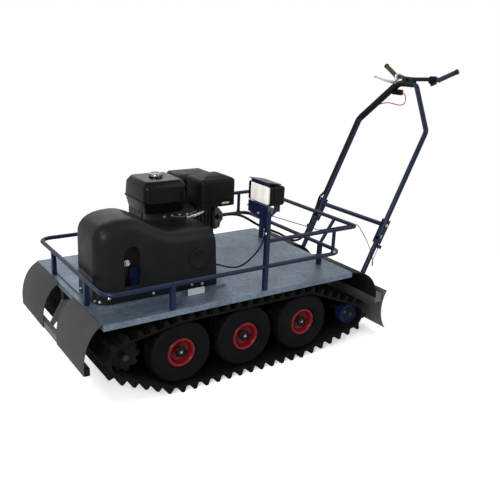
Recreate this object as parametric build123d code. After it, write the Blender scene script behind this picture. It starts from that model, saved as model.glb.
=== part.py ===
from build123d import *
import os
from math import atan2, degrees, hypot, radians, sin, cos, sqrt, tan

# Tracked snow tug: a flat galvanised deck on two rubber tracks, with an engine and belt drive at the front,
# tube rails round the deck, a work lamp on a post and a folding handlebar behind.
# Everything is drawn from the deck's rear edge: X forward, Y left, Z up from the ground, in millimetres.
# At the end the origin moves to the middle of the overall length, on the ground.

# Track: a rubber band with cross lugs
BAND = 10
LUG = 25
LUG_BASE = 30
LUG_TIP = 12
LUG_COUNT = 50

# Road wheels
TYRE_RADIUS = 135
TYRE_WIDTH = 86
TYRE_BORE = 62
TREAD_BLOCKS = 36
TYRE_GAP = 31
TYRE_INSET = 8.5
RIM_FIT = 0.3
RIM_WALL = 6
RIM_SETBACK = 6
RIM_WEB = 10
HUB_RADIUS = 24
HUB_WIDTH = 56
WHEEL_Z = TYRE_RADIUS + BAND + LUG
WHEEL_PITCH = 2 * TYRE_RADIUS + TYRE_GAP
TRACK_TOP = WHEEL_Z + TYRE_RADIUS + BAND + LUG

# Deck: a folded sheet tray, open below, a little above the tracks
DECK_LENGTH = 1180
DECK_WIDTH = 786
DECK_EDGE = 24
DECK_SHEET = 2
TRACK_CLEAR = 6
DECK_TOP = TRACK_TOP + TRACK_CLEAR + DECK_EDGE
DECK_UNDER = DECK_TOP - DECK_SHEET
DECK_SIDE = DECK_WIDTH / 2

# Frame between the tracks
FRAME_RAIL_Y = 62
FRAME_RAIL_WIDTH = 30
FRAME_RAIL_HEIGHT = 60
FRAME_RAIL_UNDER = DECK_UNDER - FRAME_RAIL_HEIGHT
FRAME_RAIL_OUTER = FRAME_RAIL_Y + FRAME_RAIL_WIDTH / 2
HANGER_THICKNESS = 8
HANGER_WIDTH = 70
HANGER_BELOW = 30
CROSS_TUBE = 18
CROSS_TUBE_INSET = 40
REAR_ARM_X = (20, 90)

# Running gear inside each track: road wheels, a front sprocket and a rear idler
TRACK_FRAME_GAP = 18
TRACK_INSET = 11
TRACK_INNER_Y = FRAME_RAIL_OUTER + TRACK_FRAME_GAP
TRACK_OUTER_Y = DECK_SIDE - TRACK_INSET
TRACK_MID_Y = (TRACK_INNER_Y + TRACK_OUTER_Y) / 2
TWIN_OFFSET = (TRACK_OUTER_Y - TRACK_INNER_Y - TYRE_WIDTH) / 2 - TYRE_INSET
SPROCKET_X = DECK_LENGTH - 95
SPROCKET_Z = WHEEL_Z + 33
SPROCKET_RADIUS = 64
SPROCKET_WIDTH = 22
SPROCKET_TEETH = 9
TOOTH_GAP_RADIUS = 12
WHEEL_FIRST_X = SPROCKET_X - 233
WHEEL_LAST_LIMIT = 200
WHEEL_COUNT = int((WHEEL_FIRST_X - WHEEL_LAST_LIMIT) // WHEEL_PITCH) + 1
WHEEL_X = [WHEEL_FIRST_X - i * WHEEL_PITCH for i in range(WHEEL_COUNT)]
IDLER_X = -42
IDLER_Z = WHEEL_Z - 30
IDLER_RADIUS = 50
IDLER_WIDTH = 40
AXLE_RADIUS = 12.5
AXLE_FIT = 0.2
AXLE_END_Y = TRACK_OUTER_Y - 20

# Front crossbar and rear beam that the guards hang on
CROSSBAR_X = DECK_LENGTH + 63
CROSSBAR_Z = WHEEL_Z + 28
CROSSBAR_DEPTH = 20
CROSSBAR_HEIGHT = 30
CROSSBAR_HALF = DECK_SIDE - 21
CAP_LENGTH = 14
BEAM_SIZE = 40
BEAM_CLEAR = 51
BEAM_X = IDLER_X - IDLER_RADIUS - BAND - LUG - BEAM_CLEAR - BEAM_SIZE / 2
BEAM_Z = WHEEL_Z + 30
BEAM_REAR = BEAM_X - BEAM_SIZE / 2
BEAM_FRONT = BEAM_X + BEAM_SIZE / 2
BEAM_HALF = DECK_SIDE - 13
GUARD_SHEET = 4
GUARD_INNER_Y = TRACK_INNER_Y - 9
GUARD_OUTER_Y = DECK_SIDE - 9
FRONT_GUARD_BEND = 22
REAR_GUARD_BEND = 60

# Snow plate and tow hitch behind the rear beam
PLATE_TOP = (BEAM_REAR - 25, BEAM_Z + 32)
PLATE_MID = (BEAM_REAR, BEAM_Z - 66)
PLATE_BOTTOM = (BEAM_REAR - 36, 36)
PLATE_SHEET = 3
PLATE_HALF = DECK_SIDE - 7
PLATE_BRACKET_Y = DECK_SIDE - 93
PLATE_BRACKET_WIDTH = 40
PLATE_BRACKET_REACH = 30
HITCH_HALF = 24
HITCH_REACH = 100
HITCH_ROOT = 14
HITCH_EAR = 8
HITCH_GAP = 30
HITCH_HOLE_RADIUS = 8.5
HITCH_HOLE_EDGE = 24
HITCH_WINDOW = 1

# Tube rails on the deck
RAIL_RADIUS = 9
RAIL_Y = DECK_SIDE - 12
RAIL_FRONT_X = DECK_LENGTH - 14
RAIL_REAR_X = 68
RAIL_Z = DECK_TOP + 102
RAIL_BEND = 50
UPPER_RAIL_Z = DECK_TOP + 211
UPPER_RAIL_REAR_X = -10
UPPER_RAIL_BEND = 22
POST = 18
SIDE_POST_X = DECK_LENGTH - 280
FRONT_POST_Y = 190
REAR_POST_Y = 235
BRACE_RADIUS = 8
COPE = 0.3

# Engine: crank axis across the vehicle, cylinder leaning to the rear
ENGINE_SETBACK = 469
ENGINE_X = DECK_LENGTH - ENGINE_SETBACK
ENGINE_LEFT_Y = 10
ENGINE_BASE = 8
ENGINE_BASE_Y = (-200, 262)
BASE_TOP = DECK_TOP + ENGINE_BASE
CRANK_Z = BASE_TOP + 132
CRANK_RADIUS = 12.5
CASE_LENGTH = 230
CASE_DEPTH = 200
CASE_TOP = CRANK_Z + 130
CASE_ROUND = 28
CASE_REAR = ENGINE_X - CASE_LENGTH / 2
CYLINDER_Z = (CRANK_Z - 22, CRANK_Z + 118)
CYLINDER_SIDE = 30
FIN_COUNT = 6
FIN = 8
FIN_PITCH = 17
FIN_DEPTH = 16
PORT_X = (CASE_REAR - 84, CASE_REAR - 30)
TANK_X = (ENGINE_X - 47, ENGINE_X + 153)
TANK_Y = (ENGINE_LEFT_Y - 160, ENGINE_LEFT_Y + 62)
TANK_Z = (CASE_TOP + 15, CASE_TOP + 147)
TANK_SEAM = 48
TANK_TAPER = 20
TANK_LEG = 24
CAP_RADIUS = 30
CAP_HEIGHT = 18
AIR_X = (CASE_REAR - 164, CASE_REAR + 8)
AIR_Y = (ENGINE_LEFT_Y - 88, ENGINE_LEFT_Y + 64)
AIR_Z = (CASE_TOP + 17, CASE_TOP + 138)
MUFFLER_X = (CASE_REAR - 144, CASE_REAR + 26)
MUFFLER_Y = (AIR_Y[0] - 154, AIR_Y[0] - 14)
MUFFLER_Z = (CASE_TOP, CASE_TOP + 130)
STARTER_RADIUS = 108
STARTER_DEPTH = 62

# Belt drive and its plastic cover
JACKSHAFT_X = ENGINE_X + 297
JACKSHAFT_Z = CRANK_Z + 10
PULLEY_Y = (120, 190)
DRIVEN_RADIUS = 96
DRIVE_RADIUS = 60
SHAFT_END = 20
COVER_Y = (48, 250)
COVER_WALL = 5
COVER_ROUND = 40
COVER_REAR = ENGINE_X - 71
COVER_FRONT = JACKSHAFT_X + 137
COVER_CROWN = JACKSHAFT_Z + 179
COVER_STEP = CRANK_Z + 109
BACKPLATE = 4
SLOT_X = JACKSHAFT_X - 5
SLOT_RADIUS = 32
SLOT_Z = (DECK_TOP + 70, DECK_TOP + 196)
DISC_RADIUS = 46
DISC_PROUD = 3

# Handlebar: two fixed legs with channels, and a folding frame above
LEG_Y = 236
LEG_RADIUS = 12.5
LEG_FOOT = (BEAM_X + 5, BEAM_Z + BEAM_SIZE / 2)
SHOULDER = (LEG_FOOT[0] - 363, LEG_FOOT[1] + 735)
TOP_HALF = 58
TOP = (SHOULDER[0] - 89, SHOULDER[1] + 205)
FRAME_BEND = 40
CHANNEL_ALONG = (225, 350)
CHANNEL_WALL = 3
CHANNEL_FIT = 0.3
CHANNEL_FLOOR = 18
PIVOT_ALONG = 262
PIVOT_RADIUS = 5
PIVOT_FIT = 0.08
PIVOT_HEAD = 8
KNUCKLE_RADIUS = 11.5
CROSS_TIE_ALONG = 322
CROSS_TIE_RADIUS = 11
CLIP_Y = LEG_Y + 26
CLIP_LENGTH = 18
CLIP_WIDTH = 16
RIGHT_CLIP_ALONG = 171
LEFT_CLIP_ALONG = 204
BAR_RADIUS = 10
BAR_BEND = 22
BAR_MID = (TOP[0] - 15, 30, TOP[1] + 26)
BAR_KNEE = (TOP[0] - 39, 88, TOP[1] + 30)
GRIP_INNER = (TOP[0] - 61, 143, TOP[1] + 29)
GRIP_OUTER = (TOP[0] - 77, 240, TOP[1] + 77)
GRIP_RADIUS = 13.5
GRIP_START = 12
GRIP_OVER = 4
CLAMP_Y = 24
CLAMP_HALF = 14

# Controls on the handlebar
PERCH_SHARE = 0.6
PERCH_RADIUS = 16
PERCH_HALF = 12
LEVER_RADIUS = 5
LEVER_REACH = ((7, 0, -11), (25, -7, -30), (42, -44, -24), (53, -119, -9))
SWITCH = ((TOP[0] - 6, TOP[0] + 20), (-86, -28), (TOP[1] - 59, TOP[1] - 31))
CONDUIT_RADIUS = 6.5
CONDUIT_FIT = 0.3
CONDUIT_ALONG = 372
CONDUIT_END = 0.88

# Work lamp on its post
LAMP_POST_SETBACK = 705
LAMP_POST_HEIGHT = 330
LAMP_POST_X = DECK_LENGTH - LAMP_POST_SETBACK
LAMP_POST_TOP = DECK_TOP + LAMP_POST_HEIGHT
LAMP_WIDTH = 130
LAMP_HEIGHT = 78
LAMP_DEPTH = 74
LAMP_FRAME = 5
LAMP_ROUND = 10
LENS_SETBACK = 2
LENS_THICK = 12
LAMP_PLATE = 4
LAMP_PLATE_RISE = 28
LAMP_BOLT_RADIUS = 5
YOKE_STRAP = 4
YOKE_GAP = 5
YOKE_HALF = 14
LAMP_CLEAR = 7
VISOR_SHEET = 3
VISOR_RISE = 8
LAMP_PIVOT = (
    LAMP_POST_X + POST / 2 - LAMP_DEPTH / 2 - 9,
    RAIL_Y - 67,
    LAMP_POST_TOP + YOKE_STRAP + hypot(LAMP_HEIGHT, LAMP_DEPTH) / 2 + LAMP_CLEAR,
)

# Cords: diameter, and the route as points (x, y, z)
HARNESS_DIAMETER = 13
HARNESS_START = [
    (CASE_REAR, -176, 468), (548, -177, 470), (492, -183, 483), (434, -193, 503), (374, -204, 518),
    (314, -214, 524), (255, -225, 519), (199, -235, 504), (150, -242, 478), (101, -252, 447), (43, -258, 414),
    (-20, -261, 388), (-76, -262, 362), (-124, -263, 333), (-167.6, -263, 308.5), (-211.6, -262.5, 309.7),
]
LEAD_DIAMETER = 7
LEAD_ROUTE = [
    (COVER_REAR, 208, 452), (616, 208, 452), (594, 221, 447), (575, 250, 445), (559, 284, 450),
    (542, 313, 468), (526, 335, 494), (508, 350, 522), (492, 359, 550), (480, 364, 580), (475, 366, 614),
    (474, 367, 656), (474, 367, LAMP_POST_TOP),
]
WIRE_DIAMETER = 3.5
WIRE_BEND = 60
WIRE_ON_RAIL_Z = UPPER_RAIL_Z + RAIL_RADIUS + WIRE_DIAMETER / 2 + COPE
WIRE_HIGH = (LAMP_POST_X - POST / 2 + 1, RAIL_Y, LAMP_POST_TOP - 12)
WIRE_LANDING = (206, RAIL_Y, WIRE_ON_RAIL_Z)
WIRE_LOW = (18, RAIL_Y, WIRE_ON_RAIL_Z)
DROOP_START = [
    WIRE_LOW, (-2, 381.5, 591), (-21, 378, 584), (-42, 368, 570), (-68, 354, 549), (-98, 339, 523),
    (-130, 326, 493), (-162, 314, 457), (-192, 303, 417), (-216, 295, 379), (-226, 292, 356),
    (-232, 289, 336), (-237, 280.5, 323), (-246, 268, 324), (-251, 263.5, 338), (-257, 263, 351),
]
DROOP_STEP = 32
HARNESS_STEP = 44
LANYARD_DIAMETER = 5
LANYARD_ROUTE = [
    (-638, SWITCH[1][1], 1114), (-638, -14, 1113), (-639, -3, 1103), (-640, 2, 1085), (-640, 0, 1067),
    (-638, -12, 1055), (-635, -34, 1050), (-630, -60, 1053), (-624, -87, 1057), (-616, -111, 1056),
    (-608, -131, 1050), (-601, -147, 1043),
]


def box(x, y, z):
    """Block between low and high values on each axis."""
    size = [high - low for low, high in (x, y, z)]
    middle = [(low + high) / 2 for low, high in (x, y, z)]
    return Pos(*middle) * Box(*size)


def around(middle, half):
    return (middle - half, middle + half)


def rod(x, z, radius, y):
    """Round bar along Y between two Y values."""
    return Pos(x, (y[0] + y[1]) / 2, z) * Rot(90, 0, 0) * Cylinder(radius, y[1] - y[0])


def side_profile(points, y):
    """Plate cut to a polygon in the side view, between two Y values."""
    outline = Polyline(*[(px, y[0], pz) for px, pz in points], close=True)
    return extrude(make_face(outline), amount=y[1] - y[0], dir=(0, 1, 0))


def swept(path, radius):
    return sweep(Plane(origin=path @ 0, z_dir=path % 0) * Circle(radius), path=path)


def tube(points, radius, bend=None):
    """Round bar along straight runs joined by bends."""
    return swept(Line(*points) if bend is None else FilletPolyline(*points, radius=bend), radius)


def largest(shape):
    return max(shape.solids(), key=lambda solid: solid.volume)


def mirrored(shape):
    """The same piece on the other side of the vehicle."""
    return mirror(shape, about=Plane.XZ)


def both_sides(shape):
    return Compound([shape, mirrored(shape)])


def group(shapes):
    """Separate solids that share one node."""
    return Compound([solid for shape in shapes for solid in shape.solids()])


def belt_outline(pulleys, y, spread):
    """Loop round pulleys (x, z, radius), each on the loop's left-hand side, spread outwards."""
    count = len(pulleys)
    normals = []
    for i, (xa, za, ra) in enumerate(pulleys):
        xb, zb, rb = pulleys[(i + 1) % count]
        span = hypot(xb - xa, zb - za)
        along = ((xb - xa) / span, (zb - za) / span)
        lean = (ra - rb) / span
        out = sqrt(1 - lean * lean)
        normals.append((along[0] * lean + along[1] * out, along[1] * lean - along[0] * out))

    def touch(pulley, normal):
        px, pz, radius = pulley
        reach = (radius + spread) / hypot(*normal)
        return (px + normal[0] * reach, y, pz + normal[1] * reach)

    edges = []
    for i in range(count):
        here, following = pulleys[i], pulleys[(i + 1) % count]
        before, after = normals[i - 1], normals[i]
        middle = (before[0] + after[0], before[1] + after[1])
        if hypot(before[0] - after[0], before[1] - after[1]) > 1e-6:
            edges.append(ThreePointArc(touch(here, before), touch(here, middle), touch(here, after)))
        edges.append(Line(touch(here, after), touch(following, after)))
    return Wire(edges)


def make_deck():
    tray = box((0, DECK_LENGTH), (-DECK_SIDE, DECK_SIDE), (DECK_TOP - DECK_EDGE, DECK_TOP))
    inside = box(
        (DECK_SHEET, DECK_LENGTH - DECK_SHEET),
        (-DECK_SIDE + DECK_SHEET, DECK_SIDE - DECK_SHEET),
        (DECK_TOP - DECK_EDGE - 1, DECK_UNDER),
    )
    return tray - inside


def make_track():
    """Left track: a band with cross lugs, drawn as one outline and spread across its width."""
    front_wheel = (WHEEL_X[0], WHEEL_Z, TYRE_RADIUS)
    rear_wheel = (WHEEL_X[-1], WHEEL_Z, TYRE_RADIUS)
    sprocket = (SPROCKET_X, SPROCKET_Z, SPROCKET_RADIUS)
    idler = (IDLER_X, IDLER_Z, IDLER_RADIUS)
    pulleys = [rear_wheel, front_wheel, sprocket, front_wheel, rear_wheel, idler]
    inner = belt_outline(pulleys, TRACK_INNER_Y, AXLE_FIT)
    outer = belt_outline(pulleys, TRACK_INNER_Y, BAND)
    half_base = LUG_BASE / 2 / outer.length
    edges = []
    for i in range(LUG_COUNT):
        middle = (i + 0.5) / LUG_COUNT
        foot, along = outer.position_at(middle), outer.tangent_at(middle)
        out = Vector(along.Z, 0, -along.X)
        start, end = outer.position_at(middle - half_base), outer.position_at(middle + half_base)
        tips = [foot + out * LUG - along * (LUG_TIP / 2), foot + out * LUG + along * (LUG_TIP / 2)]
        edges += [Line(start, tips[0]), Line(tips[0], tips[1]), Line(tips[1], end)]
        following = (i + 1.5) / LUG_COUNT - half_base
        between = outer.position_at((middle + half_base + following) / 2)
        edges.append(band_edge(end, between, outer.position_at(following % 1)))
    profile = Face(Wire(edges), [inner])
    return extrude(profile, amount=TRACK_OUTER_Y - TRACK_INNER_Y, dir=(0, 1, 0))


def band_edge(start, middle, end):
    """The band's outside between two lugs: straight on a run, an arc round a pulley."""
    bow = (middle - (start + end) * 0.5).length
    return Line(start, end) if bow < 0.01 else ThreePointArc(start, middle, end)


def twin_places():
    """The Y of the middle of each wheel across the vehicle."""
    return [side * (TRACK_MID_Y + twin) for side in (-1, 1) for twin in (-TWIN_OFFSET, TWIN_OFFSET)]


def make_tyres():
    """Tyres ringed with flat tread blocks, bored to seat on the rims."""
    bore = RegularPolygon(TYRE_BORE + RIM_FIT, TREAD_BLOCKS, major_radius=False)
    ring = Plane.XZ * (RegularPolygon(TYRE_RADIUS, TREAD_BLOCKS) - bore)
    tyre = extrude(ring, amount=TYRE_WIDTH / 2, both=True)
    return group([Pos(x, y, WHEEL_Z) * tyre for x in WHEEL_X for y in twin_places()])


def make_rims():
    """Pressed disc rims: a barrel, a web and a hub on the axle."""
    rims = []
    for x in WHEEL_X:
        for y in twin_places():
            span, hub = around(y, TYRE_WIDTH / 2 - RIM_SETBACK), around(y, HUB_WIDTH / 2)
            rim = rod(x, WHEEL_Z, TYRE_BORE, span) - rod(x, WHEEL_Z, TYRE_BORE - RIM_WALL, span)
            rim += rod(x, WHEEL_Z, TYRE_BORE - RIM_WALL / 2, around(y, RIM_WEB / 2))
            rim += rod(x, WHEEL_Z, HUB_RADIUS, hub)
            rims.append(rim - rod(x, WHEEL_Z, AXLE_RADIUS + AXLE_FIT, hub))
    return group(rims)


def make_sprockets():
    sprockets = []
    for y in twin_places():
        span = around(y, SPROCKET_WIDTH / 2)
        disc = rod(SPROCKET_X, SPROCKET_Z, SPROCKET_RADIUS, span)
        for i in range(SPROCKET_TEETH):
            turn = radians(360 * i / SPROCKET_TEETH)
            gap_x = SPROCKET_X + SPROCKET_RADIUS * cos(turn)
            gap_z = SPROCKET_Z + SPROCKET_RADIUS * sin(turn)
            disc -= rod(gap_x, gap_z, TOOTH_GAP_RADIUS, span)
        sprockets.append(disc - rod(SPROCKET_X, SPROCKET_Z, AXLE_RADIUS + AXLE_FIT, span))
    return group(sprockets)


def make_idlers():
    idlers = []
    for y in twin_places():
        span = around(y, IDLER_WIDTH / 2)
        wheel = rod(IDLER_X, IDLER_Z, IDLER_RADIUS, span)
        idlers.append(wheel - rod(IDLER_X, IDLER_Z, AXLE_RADIUS + AXLE_FIT, span))
    return group(idlers)


AXLES = [(x, WHEEL_Z) for x in WHEEL_X] + [(SPROCKET_X, SPROCKET_Z), (IDLER_X, IDLER_Z)]


def make_axles():
    return group([rod(x, z, AXLE_RADIUS, (-AXLE_END_Y, AXLE_END_Y)) for x, z in AXLES])


def make_frame():
    """Two long rails, each with short tubes out to the deck's edge, above the track."""
    inside = (DECK_SHEET, DECK_LENGTH - DECK_SHEET)
    rail = box(inside, around(FRAME_RAIL_Y, FRAME_RAIL_WIDTH / 2), (FRAME_RAIL_UNDER, DECK_UNDER))
    y = (FRAME_RAIL_OUTER, DECK_SIDE - DECK_SHEET)
    for x in (CROSS_TUBE_INSET, LAMP_POST_X, SIDE_POST_X, DECK_LENGTH - CROSS_TUBE_INSET):
        rail += box(around(x, CROSS_TUBE / 2), y, (DECK_UNDER - CROSS_TUBE, DECK_UNDER))
    return both_sides(rail)


def make_hangers():
    """Plates under the frame rails that carry the axles, and arms out to the crossbar and the rear beam."""
    y = around(FRAME_RAIL_Y, HANGER_THICKNESS / 2)
    plates = []
    for x, z in AXLES[:-1]:
        plate = box(around(x, HANGER_WIDTH / 2), y, (z - HANGER_BELOW, FRAME_RAIL_UNDER))
        plates.append(plate - rod(x, z, AXLE_RADIUS + AXLE_FIT, y))
    rear_arm = side_profile(
        [
            (REAR_ARM_X[1], FRAME_RAIL_UNDER),
            (REAR_ARM_X[0], FRAME_RAIL_UNDER),
            (BEAM_FRONT, BEAM_Z + BEAM_SIZE / 2),
            (BEAM_FRONT, BEAM_Z - BEAM_SIZE / 2),
            (IDLER_X - HANGER_BELOW, IDLER_Z - HANGER_BELOW),
            (IDLER_X + HANGER_BELOW, IDLER_Z - HANGER_BELOW),
        ],
        y,
    )
    plates.append(rear_arm - rod(IDLER_X, IDLER_Z, AXLE_RADIUS + AXLE_FIT, y))
    bar_rear = CROSSBAR_X - CROSSBAR_DEPTH / 2
    front_arm = [
        (SPROCKET_X + HANGER_WIDTH / 2 + TRACK_CLEAR, FRAME_RAIL_UNDER),
        (DECK_LENGTH - DECK_SHEET, FRAME_RAIL_UNDER),
        (bar_rear, CROSSBAR_Z + CROSSBAR_HEIGHT / 2),
        (bar_rear, CROSSBAR_Z - CROSSBAR_HEIGHT / 2),
    ]
    plates.append(side_profile(front_arm, y))
    return group(plates + [mirrored(p) for p in plates])


def make_crossbar():
    section = around(CROSSBAR_X, CROSSBAR_DEPTH / 2), around(CROSSBAR_Z, CROSSBAR_HEIGHT / 2)
    return box(section[0], (-CROSSBAR_HALF, CROSSBAR_HALF), section[1])


def make_crossbar_caps():
    section = around(CROSSBAR_X, CROSSBAR_DEPTH / 2), around(CROSSBAR_Z, CROSSBAR_HEIGHT / 2)
    return both_sides(box(section[0], (CROSSBAR_HALF, CROSSBAR_HALF + CAP_LENGTH), section[1]))


def bent_sheet(points, radius, thickness, y):
    """Sheet folded along side-view points with one bend radius, thickened to the left of its run."""
    shifted = []
    for i, (px, pz) in enumerate(points):
        sides = []
        for a, b in ((i - 1, i), (i, i + 1)):
            if a >= 0 and b < len(points):
                run = (points[b][0] - points[a][0], points[b][1] - points[a][1])
                sides.append((-run[1] / hypot(*run), run[0] / hypot(*run)))
        left = (sum(s[0] for s in sides), sum(s[1] for s in sides))
        reach = thickness * len(sides) / (left[0] ** 2 + left[1] ** 2)
        shifted.append((px + left[0] * reach, pz + left[1] * reach))
    near = FilletPolyline(*[(px, y[0], pz) for px, pz in points], radius=radius)
    far = FilletPolyline(*[(px, y[0], pz) for px, pz in shifted], radius=radius + thickness)
    face = make_face([*near.edges(), Line(near @ 1, far @ 1), *far.edges(), Line(far @ 0, near @ 0)])
    return extrude(face, amount=y[1] - y[0], dir=(0, 1, 0))


def make_front_guards():
    """Rubber sheets from the deck's front edge, bent down and screwed to the crossbar."""
    front = CROSSBAR_X + CROSSBAR_DEPTH / 2
    line = [
        (DECK_LENGTH, DECK_TOP - DECK_EDGE / 2),
        (DECK_LENGTH + 34, DECK_TOP - DECK_EDGE / 2 - 10),
        (front, CROSSBAR_Z + CROSSBAR_HEIGHT / 2 + 10),
        (front, CROSSBAR_Z - CROSSBAR_HEIGHT / 2),
    ]
    return both_sides(bent_sheet(line, FRONT_GUARD_BEND, GUARD_SHEET, (GUARD_INNER_Y, GUARD_OUTER_Y)))


def make_rear_guards():
    """Rubber sheets from the deck's rear edge, bent down and screwed to the rear beam."""
    line = [
        (BEAM_FRONT + GUARD_SHEET, BEAM_Z - 8),
        (BEAM_FRONT + GUARD_SHEET, BEAM_Z + 58),
        (BEAM_FRONT + 78, DECK_TOP - 34),
        (0, DECK_TOP - DECK_EDGE / 2 - 2),
    ]
    return both_sides(bent_sheet(line, REAR_GUARD_BEND, GUARD_SHEET, (GUARD_INNER_Y, GUARD_OUTER_Y)))


def plate_arc():
    return ThreePointArc(*[(px, 0, pz) for px, pz in (PLATE_TOP, PLATE_MID, PLATE_BOTTOM)])


def make_beam():
    """Square tube across the rear, with blocks that carry the snow plate, shaped to it."""
    arc = plate_arc()
    z = around(BEAM_Z, BEAM_SIZE / 2)
    beam = box((BEAM_REAR, BEAM_FRONT), (-BEAM_HALF, BEAM_HALF), z)
    for side in (-1, 1):
        y = around(side * PLATE_BRACKET_Y, PLATE_BRACKET_WIDTH / 2)
        block = box((BEAM_REAR - PLATE_BRACKET_REACH, BEAM_REAR), y, z)
        beam += block - rod(arc.arc_center.X, arc.arc_center.Z, arc.radius, y)
    return beam


def make_rear_plate():
    """Snow plate behind the tracks, rolled to an arc that is hollow to the rear."""
    arc = plate_arc()
    centre = arc.arc_center
    y = (-PLATE_HALF, PLATE_HALF)
    ring = rod(centre.X, centre.Z, arc.radius, y) - rod(centre.X, centre.Z, arc.radius - PLATE_SHEET, y)
    depth = (PLATE_BOTTOM[0] - BEAM_SIZE, PLATE_MID[0] + BEAM_SIZE)
    keep = box(depth, y, (PLATE_BOTTOM[1], PLATE_TOP[1]))
    tall = HITCH_GAP / 2 + HITCH_EAR + HITCH_WINDOW
    window = box(depth, around(0, HITCH_HALF + HITCH_WINDOW), around(BEAM_Z, tall))
    return ring & keep - window


def make_hitch():
    """Two ears with a hole for the tow pin, welded to the rear beam."""
    y = (-HITCH_HALF, HITCH_HALF)
    hitch = box((BEAM_REAR - HITCH_ROOT, BEAM_REAR), y, around(BEAM_Z, HITCH_GAP / 2))
    for low in (BEAM_Z - HITCH_GAP / 2 - HITCH_EAR, BEAM_Z + HITCH_GAP / 2):
        hitch += box((BEAM_REAR - HITCH_REACH, BEAM_REAR), y, (low, low + HITCH_EAR))
    pin_x = BEAM_REAR - HITCH_REACH + HITCH_HOLE_EDGE
    return hitch - Pos(pin_x, 0, BEAM_Z) * Cylinder(HITCH_HOLE_RADIUS, 2 * HITCH_GAP + 2 * HITCH_EAR)


def lower_rail_run(end_x, radius):
    """Half of the lower rail, from the mid posts round one end of the deck."""
    start = LAMP_POST_X + (POST / 2 if end_x > LAMP_POST_X else -POST / 2)
    corners = [(start, RAIL_Y), (end_x, RAIL_Y), (end_x, -RAIL_Y), (start, -RAIL_Y)]
    return tube([(x, y, RAIL_Z) for x, y in corners], radius, RAIL_BEND)


def make_lower_rail():
    return group([lower_rail_run(end, RAIL_RADIUS) for end in (RAIL_FRONT_X, RAIL_REAR_X)])


def upper_rail_run(radius):
    front = LAMP_POST_X - POST / 2
    corners = [(front, RAIL_Y), (UPPER_RAIL_REAR_X, RAIL_Y), (UPPER_RAIL_REAR_X, -RAIL_Y), (front, -RAIL_Y)]
    return tube([(x, y, UPPER_RAIL_Z) for x, y in corners], radius, UPPER_RAIL_BEND)


def coped_rails():
    """The rails with a little room, to cope the posts and braces that meet them."""
    lower = [lower_rail_run(end, RAIL_RADIUS + COPE) for end in (RAIL_FRONT_X, RAIL_REAR_X)]
    return lower[0] + lower[1], upper_rail_run(RAIL_RADIUS + COPE)


def mid_post(y, top):
    return box(around(LAMP_POST_X, POST / 2), around(y, POST / 2), (DECK_TOP, top))


def make_posts():
    """Square posts under the lower rail, and the taller one on the right that ends the upper rail."""
    lower, _ = coped_rails()
    posts = []
    for x, y in ((SIDE_POST_X, RAIL_Y), (RAIL_FRONT_X, FRONT_POST_Y), (RAIL_REAR_X, REAR_POST_Y)):
        posts.append(largest(box(around(x, POST / 2), around(y, POST / 2), (DECK_TOP, RAIL_Z)) - lower))
    return group(posts + [mirrored(p) for p in posts] + [mid_post(-RAIL_Y, UPPER_RAIL_Z + RAIL_RADIUS)])


def make_rail_braces():
    """Uprights at the rear corners, and leaning bars across the rear, between the two rails."""
    lower, upper = coped_rails()
    upright_x = RAIL_REAR_X + RAIL_BEND
    ends = [
        [(upright_x, RAIL_Y, RAIL_Z), (upright_x, RAIL_Y, UPPER_RAIL_Z)],
        [(RAIL_REAR_X, REAR_POST_Y, RAIL_Z), (UPPER_RAIL_REAR_X, REAR_POST_Y, UPPER_RAIL_Z)],
    ]
    cut = [largest(tube(pair, BRACE_RADIUS) - lower - upper) for pair in ends]
    return group(cut + [mirrored(bar) for bar in cut])


def make_engine_base():
    return box((CASE_REAR - 6, DECK_LENGTH - 24), ENGINE_BASE_Y, (DECK_TOP, BASE_TOP))


def make_crankcase():
    """Crankcase with the brackets that carry the fuel tank."""
    y = (ENGINE_LEFT_Y - CASE_DEPTH, ENGINE_LEFT_Y)
    case = box((CASE_REAR, CASE_REAR + CASE_LENGTH), y, (BASE_TOP, CASE_TOP))
    case = fillet(case.edges().filter_by(Axis.Y), CASE_ROUND)
    inset = TANK_TAPER + TANK_LEG / 2
    for x in (TANK_X[0] + inset, TANK_X[1] - 3 * inset):
        leg_y = (TANK_Y[0] + inset, y[1] - inset)
        case += box((x, x + TANK_LEG), leg_y, (CASE_TOP - ENGINE_BASE, TANK_Z[0]))
    return case


def make_cylinder():
    """Finned cylinder and head behind the crankcase, with the ports up to the air cleaner and the muffler."""
    y = (ENGINE_LEFT_Y - CASE_DEPTH + CYLINDER_SIDE, ENGINE_LEFT_Y - CYLINDER_SIDE)
    low, high = CYLINDER_Z
    reach = FIN_COUNT * FIN_PITCH + FIN_DEPTH
    core_y, core_z = (y[0] + FIN_DEPTH, y[1] - FIN_DEPTH), (low + FIN_DEPTH, high - FIN_DEPTH)
    cylinder = box((CASE_REAR - reach, CASE_REAR), core_y, core_z)
    for i in range(FIN_COUNT):
        front = CASE_REAR - FIN_DEPTH - FIN_PITCH * i
        cylinder += box((front - FIN, front), y, CYLINDER_Z)
    port_low = high - 2 * FIN_DEPTH
    cylinder += box(PORT_X, (AIR_Y[0] + FIN, y[1] - FIN), (port_low, AIR_Z[0]))
    return cylinder + box(PORT_X, (y[0] + FIN, MUFFLER_Y[1] - FIN_DEPTH), (port_low, MUFFLER_Z[0]))


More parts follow.
